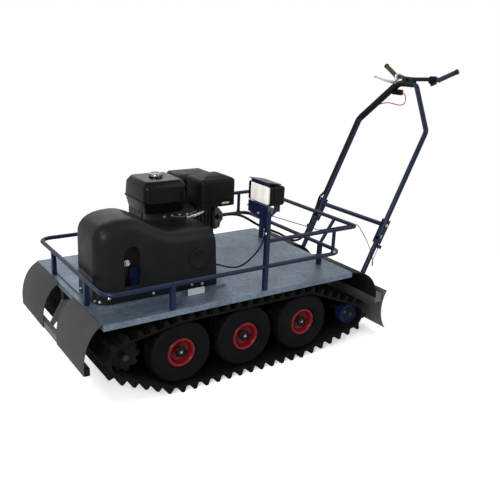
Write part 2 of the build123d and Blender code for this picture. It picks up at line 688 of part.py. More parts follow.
def make_tank():
    """Fuel tank in two pressings: the lower tapers in below the seam, the upper has a sloped top edge."""
    seam = TANK_Z[0] + TANK_SEAM
    size = (TANK_X[1] - TANK_X[0], TANK_Y[1] - TANK_Y[0])
    middle = ((TANK_X[0] + TANK_X[1]) / 2, (TANK_Y[0] + TANK_Y[1]) / 2)

    def section(z, inset):
        corner = 2 * TANK_TAPER - inset
        return Pos(*middle, z) * RectangleRounded(size[0] - 2 * inset, size[1] - 2 * inset, corner)

    lower = loft([section(TANK_Z[0], TANK_TAPER), section(seam, 0)])
    shoulder = TANK_Z[1] - TANK_TAPER
    upper = loft([section(seam, 0), section(shoulder, TANK_TAPER / 4)])
    return lower + upper + loft([section(shoulder, TANK_TAPER / 4), section(TANK_Z[1], 1.5 * TANK_TAPER)])


def make_fuel_cap():
    x, y = (TANK_X[0] + TANK_X[1]) / 2, (TANK_Y[0] + TANK_Y[1]) / 2
    return Pos(x, y, TANK_Z[1] + CAP_HEIGHT / 2) * Cylinder(CAP_RADIUS, CAP_HEIGHT)


def make_air_cleaner():
    shell = box(AIR_X, AIR_Y, AIR_Z)
    shell = fillet(shell.edges().filter_by(Axis.Z), 12)
    return fillet(shell.faces().sort_by(Axis.Z)[-1].edges(), 22)


def make_muffler():
    return fillet(box(MUFFLER_X, MUFFLER_Y, MUFFLER_Z).edges().filter_by(Axis.X), 24)


def make_starter():
    y = ENGINE_LEFT_Y - CASE_DEPTH
    starter = rod(ENGINE_X, CRANK_Z, STARTER_RADIUS, (y - STARTER_DEPTH, y))
    return fillet(starter.faces().sort_by(Axis.Y)[0].edges(), STARTER_DEPTH / 4)


def cover_face(inset, y):
    """The cover's side view, inset from its outer line: a crown at the driven pulley, lower at the engine."""
    rear, front = COVER_REAR + inset, COVER_FRONT - inset
    step, crown = COVER_STEP - inset, COVER_CROWN - inset
    brow, nape = JACKSHAFT_X + 42, JACKSHAFT_X + 2
    fall, foot = (JACKSHAFT_X - 93, crown - 33), (JACKSHAFT_X - 140, step + 22)
    level = JACKSHAFT_X - 208
    edges = [
        Line((rear, y, BASE_TOP), (front, y, BASE_TOP)),
        Line((front, y, BASE_TOP), (front - 4, y, crown - 88)),
        ThreePointArc((front - 4, y, crown - 88), (front - 28, y, crown - 26), (brow, y, crown - 1)),
        Line((brow, y, crown - 1), (nape, y, crown)),
        ThreePointArc((nape, y, crown), (JACKSHAFT_X - 47, y, crown - 11), (fall[0], y, fall[1])),
        Line((fall[0], y, fall[1]), (foot[0], y, foot[1])),
        ThreePointArc((foot[0], y, foot[1]), (JACKSHAFT_X - 172, y, step + 6), (level, y, step)),
        Line((level, y, step), (rear, y, step)),
        Line((rear, y, step), (rear, y, BASE_TOP)),
    ]
    return make_face(edges)


def cover_block(inset, round_edge):
    """Solid of the cover's side view, rounded along its outer side."""
    block = extrude(cover_face(inset, COVER_Y[0]), amount=COVER_Y[1] - COVER_Y[0] - inset, dir=(0, 1, 0))
    rim = [e for e in block.faces().sort_by(Axis.Y)[-1].edges() if e.center().Z > BASE_TOP + 1]
    return fillet(rim, round_edge)


def make_cover():
    """Moulded cover over the belt drive: open below and towards the engine, with a slot and a raised disc."""
    near = COVER_Y[1]
    slot_y = (near - 2 * COVER_ROUND, near + COVER_WALL)
    slot = box(around(SLOT_X, SLOT_RADIUS), slot_y, SLOT_Z) + rod(SLOT_X, SLOT_Z[1], SLOT_RADIUS, slot_y)
    disc = rod(ENGINE_X, CRANK_Z - 6, DISC_RADIUS, (near - 1, near + DISC_PROUD))
    return cover_block(0, COVER_ROUND) - cover_block(COVER_WALL, COVER_ROUND - COVER_WALL) - slot + disc


def make_backplate():
    """Steel plate behind the belt drive, with holes for the two shafts."""
    y = (COVER_Y[0] - BACKPLATE, COVER_Y[0])
    plate = extrude(cover_face(COVER_WALL + 2, y[0]), amount=BACKPLATE, dir=(0, 1, 0))
    plate -= rod(ENGINE_X, CRANK_Z, CRANK_RADIUS + 10, y)
    return plate - rod(JACKSHAFT_X, JACKSHAFT_Z, CRANK_RADIUS + AXLE_FIT, y)


def make_pulleys():
    """Crankshaft end with its sheave, and the driven sheave on the jackshaft."""
    end = PULLEY_Y[1] + SHAFT_END
    drive = rod(ENGINE_X, CRANK_Z, CRANK_RADIUS, (ENGINE_LEFT_Y, end))
    drive += rod(ENGINE_X, CRANK_Z, DRIVE_RADIUS, PULLEY_Y)
    driven = rod(JACKSHAFT_X, JACKSHAFT_Z, CRANK_RADIUS, (COVER_Y[0] - BACKPLATE - SHAFT_END, end))
    driven += rod(JACKSHAFT_X, JACKSHAFT_Z, DRIVEN_RADIUS, PULLEY_Y)
    return group([drive, driven])


def leg_point(along, y):
    """A point on a handlebar leg, measured along it from its foot."""
    share = along / hypot(SHOULDER[0] - LEG_FOOT[0], SHOULDER[1] - LEG_FOOT[1])
    x = LEG_FOOT[0] + (SHOULDER[0] - LEG_FOOT[0]) * share
    z = LEG_FOOT[1] + (SHOULDER[1] - LEG_FOOT[1]) * share
    return (x, y, z)


LEG_TILT = degrees(atan2(SHOULDER[0] - LEG_FOOT[0], SHOULDER[1] - LEG_FOOT[1]))
PIVOT = leg_point(PIVOT_ALONG, 0)


def on_leg(along, y, shape):
    """A shape drawn round the origin, with Z along the leg and X forward of it, set on a leg."""
    return Pos(*leg_point(along, y)) * Rot(0, LEG_TILT, 0) * shape


def make_leg(y, clip_along):
    """Fixed lower leg with a cable clip, and the open channel that the handlebar frame folds out of."""
    foot_cut = box(around(BEAM_X, BEAM_SIZE), around(y, BEAM_SIZE), (BEAM_Z - BEAM_SIZE, LEG_FOOT[1]))
    lower_end = PIVOT_ALONG - CHANNEL_FLOOR
    low, high = CHANNEL_ALONG
    leg = tube([leg_point(-LEG_RADIUS, y), leg_point(low + 1, y)], LEG_RADIUS) - foot_cut
    inner = LEG_RADIUS + CHANNEL_FIT
    outer = inner + CHANNEL_WALL
    channel = Pos(-CHANNEL_WALL / 2, 0, 0) * Box(inner + outer, 2 * outer, high - low)
    channel -= Box(2 * inner, 2 * inner, high - low + 2)
    channel = on_leg((low + high) / 2, y, channel)
    channel += on_leg((low + lower_end) / 2, y, Box(2 * inner, 2 * inner, lower_end - low))
    channel -= rod(PIVOT[0], PIVOT[2], PIVOT_RADIUS + PIVOT_FIT, around(y, 2 * LEG_RADIUS))
    reach = CLIP_Y - LEG_Y + 10
    clip_y = y + reach / 2 if y > 0 else y - reach / 2
    clip = on_leg(clip_along + CLIP_LENGTH / 2, clip_y, Box(CLIP_WIDTH, reach, CLIP_LENGTH))
    return leg + channel + clip


def make_legs():
    """Both lower legs with their channels, tied by a cross tube."""
    reach = LEG_Y - LEG_RADIUS - CHANNEL_FIT - CHANNEL_WALL
    tie_x, _, tie_z = leg_point(CROSS_TIE_ALONG, 0)
    tie = rod(tie_x, tie_z, CROSS_TIE_RADIUS, (-reach - 1, reach + 1))
    return make_leg(LEG_Y, LEFT_CLIP_ALONG) + make_leg(-LEG_Y, RIGHT_CLIP_ALONG) + tie


def make_handle_frame():
    """Folding frame: one tube from pivot to pivot, up over the shoulders and across the top."""
    points = [
        leg_point(PIVOT_ALONG, LEG_Y),
        (SHOULDER[0], LEG_Y, SHOULDER[1]),
        (TOP[0], TOP_HALF, TOP[1]),
        (TOP[0], -TOP_HALF, TOP[1]),
        (SHOULDER[0], -LEG_Y, SHOULDER[1]),
        leg_point(PIVOT_ALONG, -LEG_Y),
    ]
    frame = tube(points, LEG_RADIUS, FRAME_BEND)
    for y in (-LEG_Y, LEG_Y):
        frame += rod(PIVOT[0], PIVOT[2], KNUCKLE_RADIUS, around(y, KNUCKLE_RADIUS))
        reach = LEG_RADIUS + CHANNEL_FIT + CHANNEL_WALL + PIVOT_HEAD
        frame += rod(PIVOT[0], PIVOT[2], PIVOT_RADIUS, around(y, reach))
    return frame


def make_handle_conduit():
    """Cable conduit clipped along the front of the right-hand side of the folding frame."""
    reach = LEG_RADIUS + CONDUIT_RADIUS + CONDUIT_FIT
    forward = Vector(cos(radians(LEG_TILT)), 0, -sin(radians(LEG_TILT))) * reach
    shoulder, top = Vector(SHOULDER[0], -LEG_Y, SHOULDER[1]), Vector(TOP[0], -TOP_HALF, TOP[1])
    line = [Vector(*leg_point(CONDUIT_ALONG, -LEG_Y)), shoulder, shoulder + (top - shoulder) * CONDUIT_END]
    return tube([point + forward for point in line], CONDUIT_RADIUS, FRAME_BEND)


def make_handlebar():
    """Handlebar across the top of the frame, swept up to the grips, on two clamp blocks."""
    points = [GRIP_OUTER, GRIP_INNER, BAR_KNEE, BAR_MID]
    points += [(x, -y, z) for x, y, z in reversed(points)]
    return tube(points, BAR_RADIUS, BAR_BEND)


def make_clamps(bar, frame):
    """Blocks that clamp the bar to the frame's top tube."""
    x = (BAR_MID[0] - BAR_RADIUS / 2, TOP[0] + LEG_RADIUS / 2)
    z = (TOP[1] - 2, BAR_MID[2] + 2)
    return group([largest(box(x, around(y, CLAMP_HALF), z) - bar - frame) for y in (-CLAMP_Y, CLAMP_Y)])


def make_grips(bar):
    grips = []
    for side in (-1, 1):
        inner = Vector(GRIP_INNER[0], side * GRIP_INNER[1], GRIP_INNER[2])
        outer = Vector(GRIP_OUTER[0], side * GRIP_OUTER[1], GRIP_OUTER[2])
        run = (outer - inner).normalized()
        grips.append(tube([inner + run * GRIP_START, outer + run * GRIP_OVER], GRIP_RADIUS) - bar)
    return group(grips)


def make_controls(bar, frame):
    """Lever perch and brake lever on the right, throttle clamp on the left, stop switch under the bar."""
    pieces = []
    for side in (-1, 1):
        knee = Vector(BAR_KNEE[0], side * BAR_KNEE[1], BAR_KNEE[2])
        inner = Vector(GRIP_INNER[0], side * GRIP_INNER[1], GRIP_INNER[2])
        run, middle = (inner - knee).normalized(), knee + (inner - knee) * PERCH_SHARE
        perch = tube([middle - run * PERCH_HALF, middle + run * PERCH_HALF], PERCH_RADIUS)
        if side < 0:
            perch += tube([middle + Vector(*step) for step in LEVER_REACH], LEVER_RADIUS, BAR_RADIUS)
        pieces.append(largest(perch - bar))
    return group(pieces + [largest(box(*SWITCH) - frame)])


def make_lamp_bracket():
    """Gusset plate on the lamp post, with the yoke that holds the lamp at its sides and a strut behind."""
    x, y, z = LAMP_PIVOT
    low, top = LAMP_POST_TOP, LAMP_POST_TOP + LAMP_PLATE_RISE
    inner_y, post_y = y - LAMP_WIDTH / 2 + 6, around(RAIL_Y, POST / 2)
    outline = [
        (post_y[1], low - 60),
        (post_y[0], low - 60),
        (post_y[0] - 6, low - 32),
        (inner_y, low - 18),
        (inner_y, top),
        (post_y[1], top),
    ]
    plate_x = LAMP_POST_X + POST / 2
    face = make_face(Polyline(*[(plate_x, py, pz) for py, pz in outline], close=True))
    bracket = extrude(face, amount=LAMP_PLATE, dir=(1, 0, 0))
    inner = LAMP_WIDTH / 2 + YOKE_GAP
    outer = inner + YOKE_STRAP
    bracket += box((x - YOKE_HALF, plate_x), around(y, outer), (low, low + YOKE_STRAP))
    for side in (-1, 1):
        arm = sorted((y + side * inner, y + side * outer))
        bracket += box(around(x, YOKE_HALF), arm, (low, z + YOKE_HALF))
    bracket -= rod(x, z, LAMP_BOLT_RADIUS + PIVOT_FIT, around(y, outer + 1))
    rear = LAMP_POST_X - POST / 2
    strut = [(x - YOKE_HALF, low + 12), (x - YOKE_HALF, low + 24), (rear, low - 8), (rear, low - 20)]
    return bracket + side_profile(strut, (y + inner, y + outer))


def make_lamp_housing():
    """Lamp body: deep behind the lens, with the two pivot bolts of the yoke."""
    x, y, z = LAMP_PIVOT
    front = x + LAMP_DEPTH / 2
    half_w, half_h = LAMP_WIDTH / 2, LAMP_HEIGHT / 2
    body = box(around(x, LAMP_DEPTH / 2), around(y, half_w), around(z, half_h))
    body = fillet(body.edges().filter_by(Axis.X), LAMP_ROUND)
    hollow = (front - LENS_THICK - LENS_SETBACK, front + 1)
    body -= box(hollow, around(y, half_w - LAMP_FRAME), around(z, half_h - LAMP_FRAME))
    reach = half_w + YOKE_GAP + YOKE_STRAP + LAMP_BOLT_RADIUS
    for bolt_y in ((y - reach, y - half_w), (y + half_w, y + reach)):
        body += rod(x, z, LAMP_BOLT_RADIUS, bolt_y)
    return body


def make_lamp_lens():
    x, y, z = LAMP_PIVOT
    front = x + LAMP_DEPTH / 2 - LENS_SETBACK
    half_w, half_h = LAMP_WIDTH / 2 - LAMP_FRAME, LAMP_HEIGHT / 2 - LAMP_FRAME
    return box((front - LENS_THICK, front), around(y, half_w), around(z, half_h))


def make_lamp_visor():
    """Plate over the lamp on a foot."""
    x, y, z = LAMP_PIVOT
    top = z + LAMP_HEIGHT / 2
    depth = (x - LAMP_DEPTH / 3, x + LAMP_DEPTH / 2 + 14)
    plate = box(depth, around(y, LAMP_WIDTH / 2), (top + VISOR_RISE, top + VISOR_RISE + VISOR_SHEET))
    return plate + box((x - 20, x + 10), around(y, YOKE_HALF), (top, top + VISOR_RISE))


def cord(name, points, diameter):
    """Cord along straight runs joined by arcs that are as large as the runs allow."""
    corners = [Vector(*point) for point in points]
    radii = []
    for before, here, after in zip(corners, corners[1:], corners[2:]):
        shorter = min((here - before).length, (after - here).length)
        turn = radians((here - before).get_angle(after - here))
        radii.append(0.45 * shorter / tan(turn / 2))
    path = FilletPolyline(*corners, radius=radii)
    print(name, "length", round(path.length, 1), "smallest radius", round(min(radii), 1), "of", diameter)
    return swept(path, diameter / 2)


def harness_route():
    low, right = RIGHT_CLIP_ALONG, -CLIP_Y
    return HARNESS_START + [leg_point(low - HARNESS_STEP, right), leg_point(low, right)]


def droop_route():
    return DROOP_START + [leg_point(LEFT_CLIP_ALONG - DROOP_STEP, CLIP_Y), leg_point(LEFT_CLIP_ALONG, CLIP_Y)]


def all_parts():
    track = make_track()
    bar, frame = make_handlebar(), make_handle_frame()
    return {
        "deck": make_deck(),
        "track_left": track,
        "track_right": mirrored(track),
        "tyres": make_tyres(),
        "wheel_rims": make_rims(),
        "drive_sprockets": make_sprockets(),
        "idler_wheels": make_idlers(),
        "axles": make_axles(),
        "chassis_frame": make_frame(),
        "axle_hangers": make_hangers(),
        "front_crossbar": make_crossbar(),
        "crossbar_caps": make_crossbar_caps(),
        "front_guards": make_front_guards(),
        "rear_guards": make_rear_guards(),
        "rear_beam": make_beam(),
        "rear_snow_plate": make_rear_plate(),
        "tow_hitch": make_hitch(),
        "lower_rail": make_lower_rail(),
        "upper_rail": upper_rail_run(RAIL_RADIUS),
        "rail_posts": make_posts(),
        "rail_braces": make_rail_braces(),
        "lamp_post": mid_post(RAIL_Y, LAMP_POST_TOP),
        "engine_base": make_engine_base(),
        "engine_crankcase": make_crankcase(),
        "engine_cylinder": make_cylinder(),
        "fuel_tank": make_tank(),
        "fuel_cap": make_fuel_cap(),
        "air_cleaner": make_air_cleaner(),
        "muffler": make_muffler(),
        "recoil_starter": make_starter(),
        "drive_cover": make_cover(),
        "drive_backplate": make_backplate(),
        "belt_pulleys": make_pulleys(),
        "handle_legs": make_legs(),
        "handle_frame": frame,
        "handle_conduit": make_handle_conduit(),
        "handlebar": bar,
        "bar_clamps": make_clamps(bar, frame),
        "grips": make_grips(bar),
        "bar_controls": make_controls(bar, frame),
        "lamp_bracket": make_lamp_bracket(),
        "lamp_housing": make_lamp_housing(),
        "lamp_lens": make_lamp_lens(),
        "lamp_visor": make_lamp_visor(),
        "lamp_wire": tube([WIRE_HIGH, WIRE_LANDING, WIRE_LOW], WIRE_DIAMETER / 2, WIRE_BEND),
        "engine_harness": cord("engine_harness", harness_route(), HARNESS_DIAMETER),
        "lamp_lead": cord("lamp_lead", LEAD_ROUTE, LEAD_DIAMETER),
        "rear_droop_wire": cord("rear_droop_wire", droop_route(), WIRE_DIAMETER),
        "stop_lanyard": cord("stop_lanyard", LANYARD_ROUTE, LANYARD_DIAMETER),
    }


def main():
    os.makedirs("parts", exist_ok=True)
    parts = all_parts()
    reach = Compound([s for p in parts.values() for s in p.solids()]).bounding_box()
    middle = (reach.min.X + reach.max.X) / 2
    print("origin is", round(middle, 3), "mm forward of the deck's rear edge")
    for name, shape in parts.items():
        export_step(Pos(-middle, 0, 0) * shape, f"parts/{name}.step")


if __name__ == "__main__":
    main()
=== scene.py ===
import bpy
import bmesh
import math
from mathutils import Matrix, Vector


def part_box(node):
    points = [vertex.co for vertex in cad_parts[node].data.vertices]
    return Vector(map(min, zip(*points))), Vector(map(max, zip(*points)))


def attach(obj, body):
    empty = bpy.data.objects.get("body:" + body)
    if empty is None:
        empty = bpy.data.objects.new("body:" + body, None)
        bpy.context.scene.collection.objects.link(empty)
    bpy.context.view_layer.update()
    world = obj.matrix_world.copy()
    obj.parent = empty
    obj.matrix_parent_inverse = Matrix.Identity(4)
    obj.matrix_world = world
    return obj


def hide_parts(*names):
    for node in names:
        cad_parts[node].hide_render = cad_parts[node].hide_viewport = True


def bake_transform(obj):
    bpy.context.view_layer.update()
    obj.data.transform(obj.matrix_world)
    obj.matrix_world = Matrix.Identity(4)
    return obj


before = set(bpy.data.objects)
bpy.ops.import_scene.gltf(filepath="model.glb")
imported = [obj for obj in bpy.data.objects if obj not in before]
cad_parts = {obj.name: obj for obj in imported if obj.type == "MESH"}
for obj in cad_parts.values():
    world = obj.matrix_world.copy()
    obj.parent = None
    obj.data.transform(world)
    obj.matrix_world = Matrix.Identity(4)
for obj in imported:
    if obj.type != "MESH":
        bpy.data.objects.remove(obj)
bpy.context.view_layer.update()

# In metres: a millimetre, how close points count as one, and how close to a plane they count as on it
MM = 0.001
SAME = 0.00002
NEAR = 0.0001

FRONT, LEFT, UP = Vector((1, 0, 0)), Vector((0, 1, 0)), Vector((0, 0, 1))

# Places are in millimetres from the deck's rear edge, the middle of its width and the ground
DECK_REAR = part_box("deck")[0].x

# Camera, worked out from the photograph: place, axes and focal length
CAMERA_PLACE = Vector((1.6917, 2.4126, 1.3682))
CAMERA_RIGHT = Vector((-0.8309, 0.5551, 0.0396))
CAMERA_DOWN = Vector((0.1427, 0.2814, -0.9489))
CAMERA_FORWARD = Vector((-0.5379, -0.7828, -0.3130))
FOCAL_PIXELS = 652.3
IMAGE_PIXELS = 500
SENSOR_MM = 36

# Soft boxes: place and width in metres, and power in watts
SOFTBOXES = (
    ((2.8, 2.3, 1.9), 0.9, 72),
    ((-2.0, 2.2, 3.0), 2.5, 40),
    ((0, -2.5, 3), 3, 35),
    ((2.7, 0.9, 2.7), 0.35, 22),
)
LIGHT_TARGET = Vector((0, 0, 0.4))
SKY_SHARE = 0.36
FLOOR_SIZE, FLOOR_FADE = 12, (1.1, 2.4)

# Wheels: twin tyres on three axles
WHEEL_X, WHEEL_Z = (852, 551, 250), 170
TWIN_Y = (146.5, 330.5)
TYRE_RADIUS, TYRE_HALF = 135, 43
TREAD_DEPTH = 4
RIM_RADIUS = 62
HUB_FACE = 30
VALVE_PLACE, VALVE_RADIUS, VALVE_LENGTH = Vector((-36, 16, -18)), 4, 16
IDLER_X, IDLER_Z = -42, 140
IDLER_RADIUS, IDLER_HALF = 50, 20

# Rubber sheets over the tracks' ends: each bends down along a quarter of an ellipse
FRONT_GUARD = {"middle": (1155, 215), "reach": 100, "rise": 158, "first": 15, "foot": 183}
REAR_GUARD = {"middle": (-15, 212), "reach": -161, "rise": 147, "first": -5, "foot": 208}
GUARD_Y = (86, 384)
GUARD_SHEET, GUARD_EDGE, GUARD_STEPS = 4, 0.8, 14

# Cover over the belt drive: a blunt front, a crown, a fall to a step, and a rolled near edge
COVER_X, COVER_Y = (640, 1145), (48, 250)
COVER_STEP, COVER_CROWN, COVER_BASE = 619, 699, 378
COVER_PEAK, COVER_BROW, COVER_FALL = 1010, 88, 216
COVER_BLUNT, COVER_LEAN, COVER_SPARE = 0.8, 4, 4
COVER_ROUND, COVER_WALL = 60, 5
FRONT_STEPS, FALL_STEPS, ROLL_STEPS = 7, 9, 7
COVER_REAR_CUT = (1, 0, -0.055)
JACKSHAFT_X, JACKSHAFT_Z = 1008, 520
SLOT_X, SLOT_RADIUS, SLOT_Z, SLOT_DEPTH = 1003, 32, (440, 566), 120
DISC_X, DISC_Z, DISC_RADIUS = 711, 504, 46
PLATE_LOW, PLATE_HIGH, PLATE_FOOT = (708, 288, 370), (784, 290, 397), 24
BRACKET_LOW, BRACKET_HIGH, BRACKET_SPREAD = (958, 196, 382), (992, 202, 500), 1.6

# Engine: the head cover's side view, and small fittings
HEAD_SIDE = [(492, 632), (472, 630), (450, 602), (449, 574), (461, 560), (466, 538), (492, 530)]
HEAD_Y = (-110, 0)
PLUG_PLACE, PLUG_AXIS = (480, -2, 588), (0.2, 1, 0.3)
CLIP_LOW, CLIP_HIGH = (468, 74.5, 668), (506, 77, 676)
ARM_START, ARM_END, ARM_HALF = (662, 62, 622), (600, 62, 643), Vector((8, 2, 6))
ARM_STEPS = ((-14, 6, 5), (-26, 6, 9), (-20, 0, 7))
GOVERNOR_ROD = ((724, 18, 628), (700, 20, 618), (652, 22, 616), (622, 26, 630), (604, 34, 640))
GOVERNOR_RADIUS = 2.2

# Lamp's visor: its sheet, how it leans, and the lip along the glass
VISOR_SHEET, VISOR_BACK, VISOR_RISE, VISOR_DROP = 3, 2, 7, 6
LIP_THICK, LIP_BEHIND = 4, 17

# Handle: the legs, the folding frame's right limb, the bar, the left grip and the stop switch
LEG_FOOT = Vector((-193, 0, 220))
LEG_UP = Vector((-363, 0, 735)).normalized()
LEG_FRONT = Vector((735, 0, 363)).normalized()
LEG_Y, CHANNEL_HALF = 236, 15.5
PIVOT_ALONG, TIE_ALONG = 262, 322
SHOULDER, LIMB_TOP = Vector((-556, -236, 955)), Vector((-645, -58, 1160))
BAR_KNEE = Vector((-684, 88, 1190))
GRIP_INNER, GRIP_OUTER = Vector((-706, 143, 1189)), Vector((-722, 240, 1237))
PERCH_SHARE = 0.6
SWITCH_LOW, SWITCH_HIGH = Vector((-651, -86, 1101)), Vector((-625, -28, 1129))
BUTTON_RADIUS, BUTTON_LENGTH, BUTTON_OUT = 8, 10, 3
THROTTLE_LOW, THROTTLE_HIGH = Vector((-20, -19, -20)), Vector((20, 9, 18))

# Levers: steps from the perch, and the share of the radius at each
LEVER_RADIUS, THUMB_RADIUS = 6, 4.5
LEVER_REACH = ((3, 0, -6), (14, -1, -22), (25, -9, -30), (35, -28, -27), (44, -58, -22),
               (50, -95, -14), (53, -112, -10), (54, -118, -9), (54, -124, -8))
LEVER_SHARES = (2.1, 2.0, 1.7, 1.2, 1.0, 0.9, 0.9, 1.35, 0.7)
THUMB_REACH = ((8, 0, -14), (20, 2, -24), (26, 14, -26), (24, 28, -18), (16, 36, -12))
THUMB_SHARES = (1.2, 1.1, 1, 1, 0.8)

# Tape on the handle, and the conduit across the fold as places along the leg, sideways and ahead
TAPE_TURNS, TAPE_RADIUS, TAPE_SWELL = 34, 19.5, 1.05
TAPE_FLAT, TAPE_SHARE, TAPE_FOOT, TAPE_AHEAD = 0.84, 0.86, 0.06, 6
WRAP_ON_LIMB, WRAP_ON_TOP = (0.84, 0.9), (0, 0.4, 0.7, 0.84)
WRAP_RADIUS, WRAP_SHARES = 14.2, (1.1, 1.15, 1.2, 1, 1.02, 1)
CONDUIT_RADIUS = 6.4
CONDUIT = ((186, -262, 0), (205, -262, 0), (240, -262, 2), (280, -262, 5), (318, -261, 10),
           (346, -260, 17), (362, -248, 21), (376, -238, 20), (386, -236, 19.3))

# Bolts: washer radii, and places; on the cover's corner they are given by degrees and height
BOLT, CHANNEL_BOLT, SHAFT_BOLT = 6, 8, 13
BOLT_SINK = 1
COVER_FRONT_BOLT = (70, 392)
COVER_CORNER_BOLTS = ((20, 389), (42, 389), (76, 404))
COVER_SIDE_BOLTS = ((916, 392), (745, 396), (697, 393))
NEAR_CASE_BOLTS = [(x, 622) for x in (640, 676, 712, 748)]
FAR_CASE_BOLTS = [(x, z) for x in (622, 800) for z in (404, 616)]
BRACKET_BOLTS = ((488, 328, 687), (484, 384, 614))
RAIL_BOLT = Vector((118, 390, 484))

# Cords: their routes, the same points as in the part's source
HARNESS = (
    (596, -176, 468), (548, -177, 470), (492, -183, 483), (434, -193, 503), (374, -204, 518),
    (314, -214, 524), (255, -225, 519), (199, -235, 504), (150, -242, 478), (101, -252, 447),
    (43, -258, 414), (-20, -261, 388), (-76, -262, 362), (-124, -263, 333), (-167.6, -263, 308.5),
    (-211.6, -262.5, 309.7), (-249.2, -262, 333.9), (-268.7, -262, 373.3),
)
LAMP_LEAD = (
    (640, 208, 452), (616, 208, 452), (594, 221, 447), (575, 250, 445), (559, 284, 450),
    (542, 313, 468), (526, 335, 494), (508, 350, 522), (492, 359, 550), (480, 364, 580),
    (475, 366, 614), (474, 367, 656), (474, 367, 700),
)
REAR_DROOP = (
    (18, 381, 592), (-2, 381.5, 591), (-21, 378, 584), (-42, 368, 570), (-68, 354, 549),
    (-98, 339, 523), (-130, 326, 493), (-162, 314, 457), (-192, 303, 417), (-216, 295, 379),
    (-226, 292, 356), (-232, 289, 336), (-237, 280.5, 323), (-246, 268, 324), (-251, 263.5, 338),
    (-257, 263, 351), (-269.2, 262, 374.2), (-283.3, 262, 402.9),
)
LANYARD = (
    (-638, -28, 1114), (-638, -14, 1113), (-639, -3, 1103), (-640, 2, 1085), (-640, 0, 1067),
    (-638, -12, 1055), (-635, -34, 1050), (-630, -60, 1053), (-624, -87, 1057), (-616, -111, 1056),
    (-608, -131, 1050), (-601, -147, 1043),
)


def at(x, y, z):
    """A place in millimetres from the deck's rear edge, as a point of the frame in metres."""
    return Vector((DECK_REAR + x * MM, y * MM, z * MM))


def places(points, start=(0, 0, 0)):
    """Points in millimetres, counted from a start, as points of the frame."""
    return [at(*(Vector(start) + Vector(point))) for point in points]


def on_leg(along, y, front=0):
    """A place beside a handle leg: up its length from the foot, and ahead of its middle."""
    return at(*(LEG_FOOT + LEG_UP * along + LEG_FRONT * front + Vector((0, y, 0))))


def sided(place, side):
    """A place given for one side of the vehicle, or its mirror image where side is -1."""
    return Vector((place.x, side * place.y, place.z))


# Materials

def colour(code):
    """A linear colour from an sRGB code."""
    parts = [int(code[i:i + 2], 16) / 255 for i in (1, 3, 5)]
    return tuple(p / 12.92 if p <= 0.04045 else ((p + 0.055) / 1.055) ** 2.4 for p in parts) + (1,)


def add(material, kind, settings=None, inputs=None):
    """Adds one shader node; an input is a constant, or another node's output to link."""
    node = material.node_tree.nodes.new(kind)
    for name, value in (settings or {}).items():
        setattr(node, name, value)
    for name, value in (inputs or {}).items():
        if isinstance(value, bpy.types.NodeSocket):
            material.node_tree.links.new(value, node.inputs[name])
        else:
            node.inputs[name].default_value = value
    return node


def surface(name, **constants):
    """A new material, its shader with constants set, and the object's coordinates for patterns."""
    material = bpy.data.materials.new(name)
    material.use_nodes = True
    shader = material.node_tree.nodes["Principled BSDF"]
    for socket, value in constants.items():
        shader.inputs[socket.replace("_", " ")].default_value = value
    return material, shader, add(material, "ShaderNodeTexCoord").outputs["Object"]


def feed(material, shader, **outputs):
    """Links nodes' outputs to the shader's sockets, and gives the material back."""
    for socket, output in outputs.items():
        material.node_tree.links.new(output, shader.inputs[socket.replace("_", " ")])
    return material


def weathered(name, clean, worn, dirt, roughness, patch, grain, bump, **constants):
    """A finish whose two colours mix in patches of dirt, rougher there, with a fine grain in relief.

    Patch and grain are a size in millimetres and a detail, and bump is a strength and a depth.
    """
    material, shader, place = surface(name, **constants)
    cloud, speck = [add(material, "ShaderNodeTexNoise",
                        inputs={"Vector": place, "Scale": 1 / (size * MM), "Detail": detail}).outputs["Fac"]
                    for size, detail in (patch, grain)]
    share = add(material, "ShaderNodeMapRange",
                inputs={"Value": cloud, "From Min": dirt[0], "From Max": dirt[1]})
    blend = add(material, "ShaderNodeMix", {"data_type": "RGBA"},
                {"Factor": share.outputs["Result"], "A": colour(clean), "B": colour(worn)})
    dulling = add(material, "ShaderNodeMapRange",
                  inputs={"Value": cloud, "From Min": 0.3, "From Max": 0.7,
                          "To Min": roughness[0], "To Max": roughness[1]})
    relief = add(material, "ShaderNodeBump",
                 inputs={"Strength": bump[0], "Distance": bump[1] * MM, "Height": speck})
    return feed(material, shader, Base_Color=blend.outputs["Result"],
                Roughness=dulling.outputs["Result"], Normal=relief.outputs["Normal"])


def painted_steel(name, paint, worn, roughness, coat, shine=0.16):
    """Powder-coated steel: an even colour with faint orange peel, and a duller film of dust in patches."""
    return weathered(name, paint, worn, (0, 1), (roughness - 0.08, roughness + 0.12), patch=(60, 4),
                     grain=(2.5, 1), bump=(0.08, 0.4), IOR=1.5, Specular_IOR_Level=shine,
                     Coat_Weight=coat, Coat_Roughness=0.15)


def moulded(name, base, dusty, roughness, grain_size, strength, shine=0.14):
    """Moulded rubber or plastic: matt, with a fine grain, and pale dust that gathers in soft patches."""
    return weathered(name, base, dusty, (0.42, 0.75), (roughness - 0.06, roughness + 0.1), patch=(90, 6),
                     grain=(grain_size, 2), bump=(strength, 0.6), IOR=1.5, Specular_IOR_Level=shine)


def bare_metal(name, bright, dull, roughness, metallic, grain_size, strength):
    """Bare metal: bright, with a grain from how it was cast, rolled or plated, and duller stains."""
    return weathered(name, bright, dull, (0, 1), (roughness - 0.08, roughness + 0.12), patch=(35, 5),
                     grain=(grain_size, 2), bump=(strength, 0.5), Metallic=metallic)


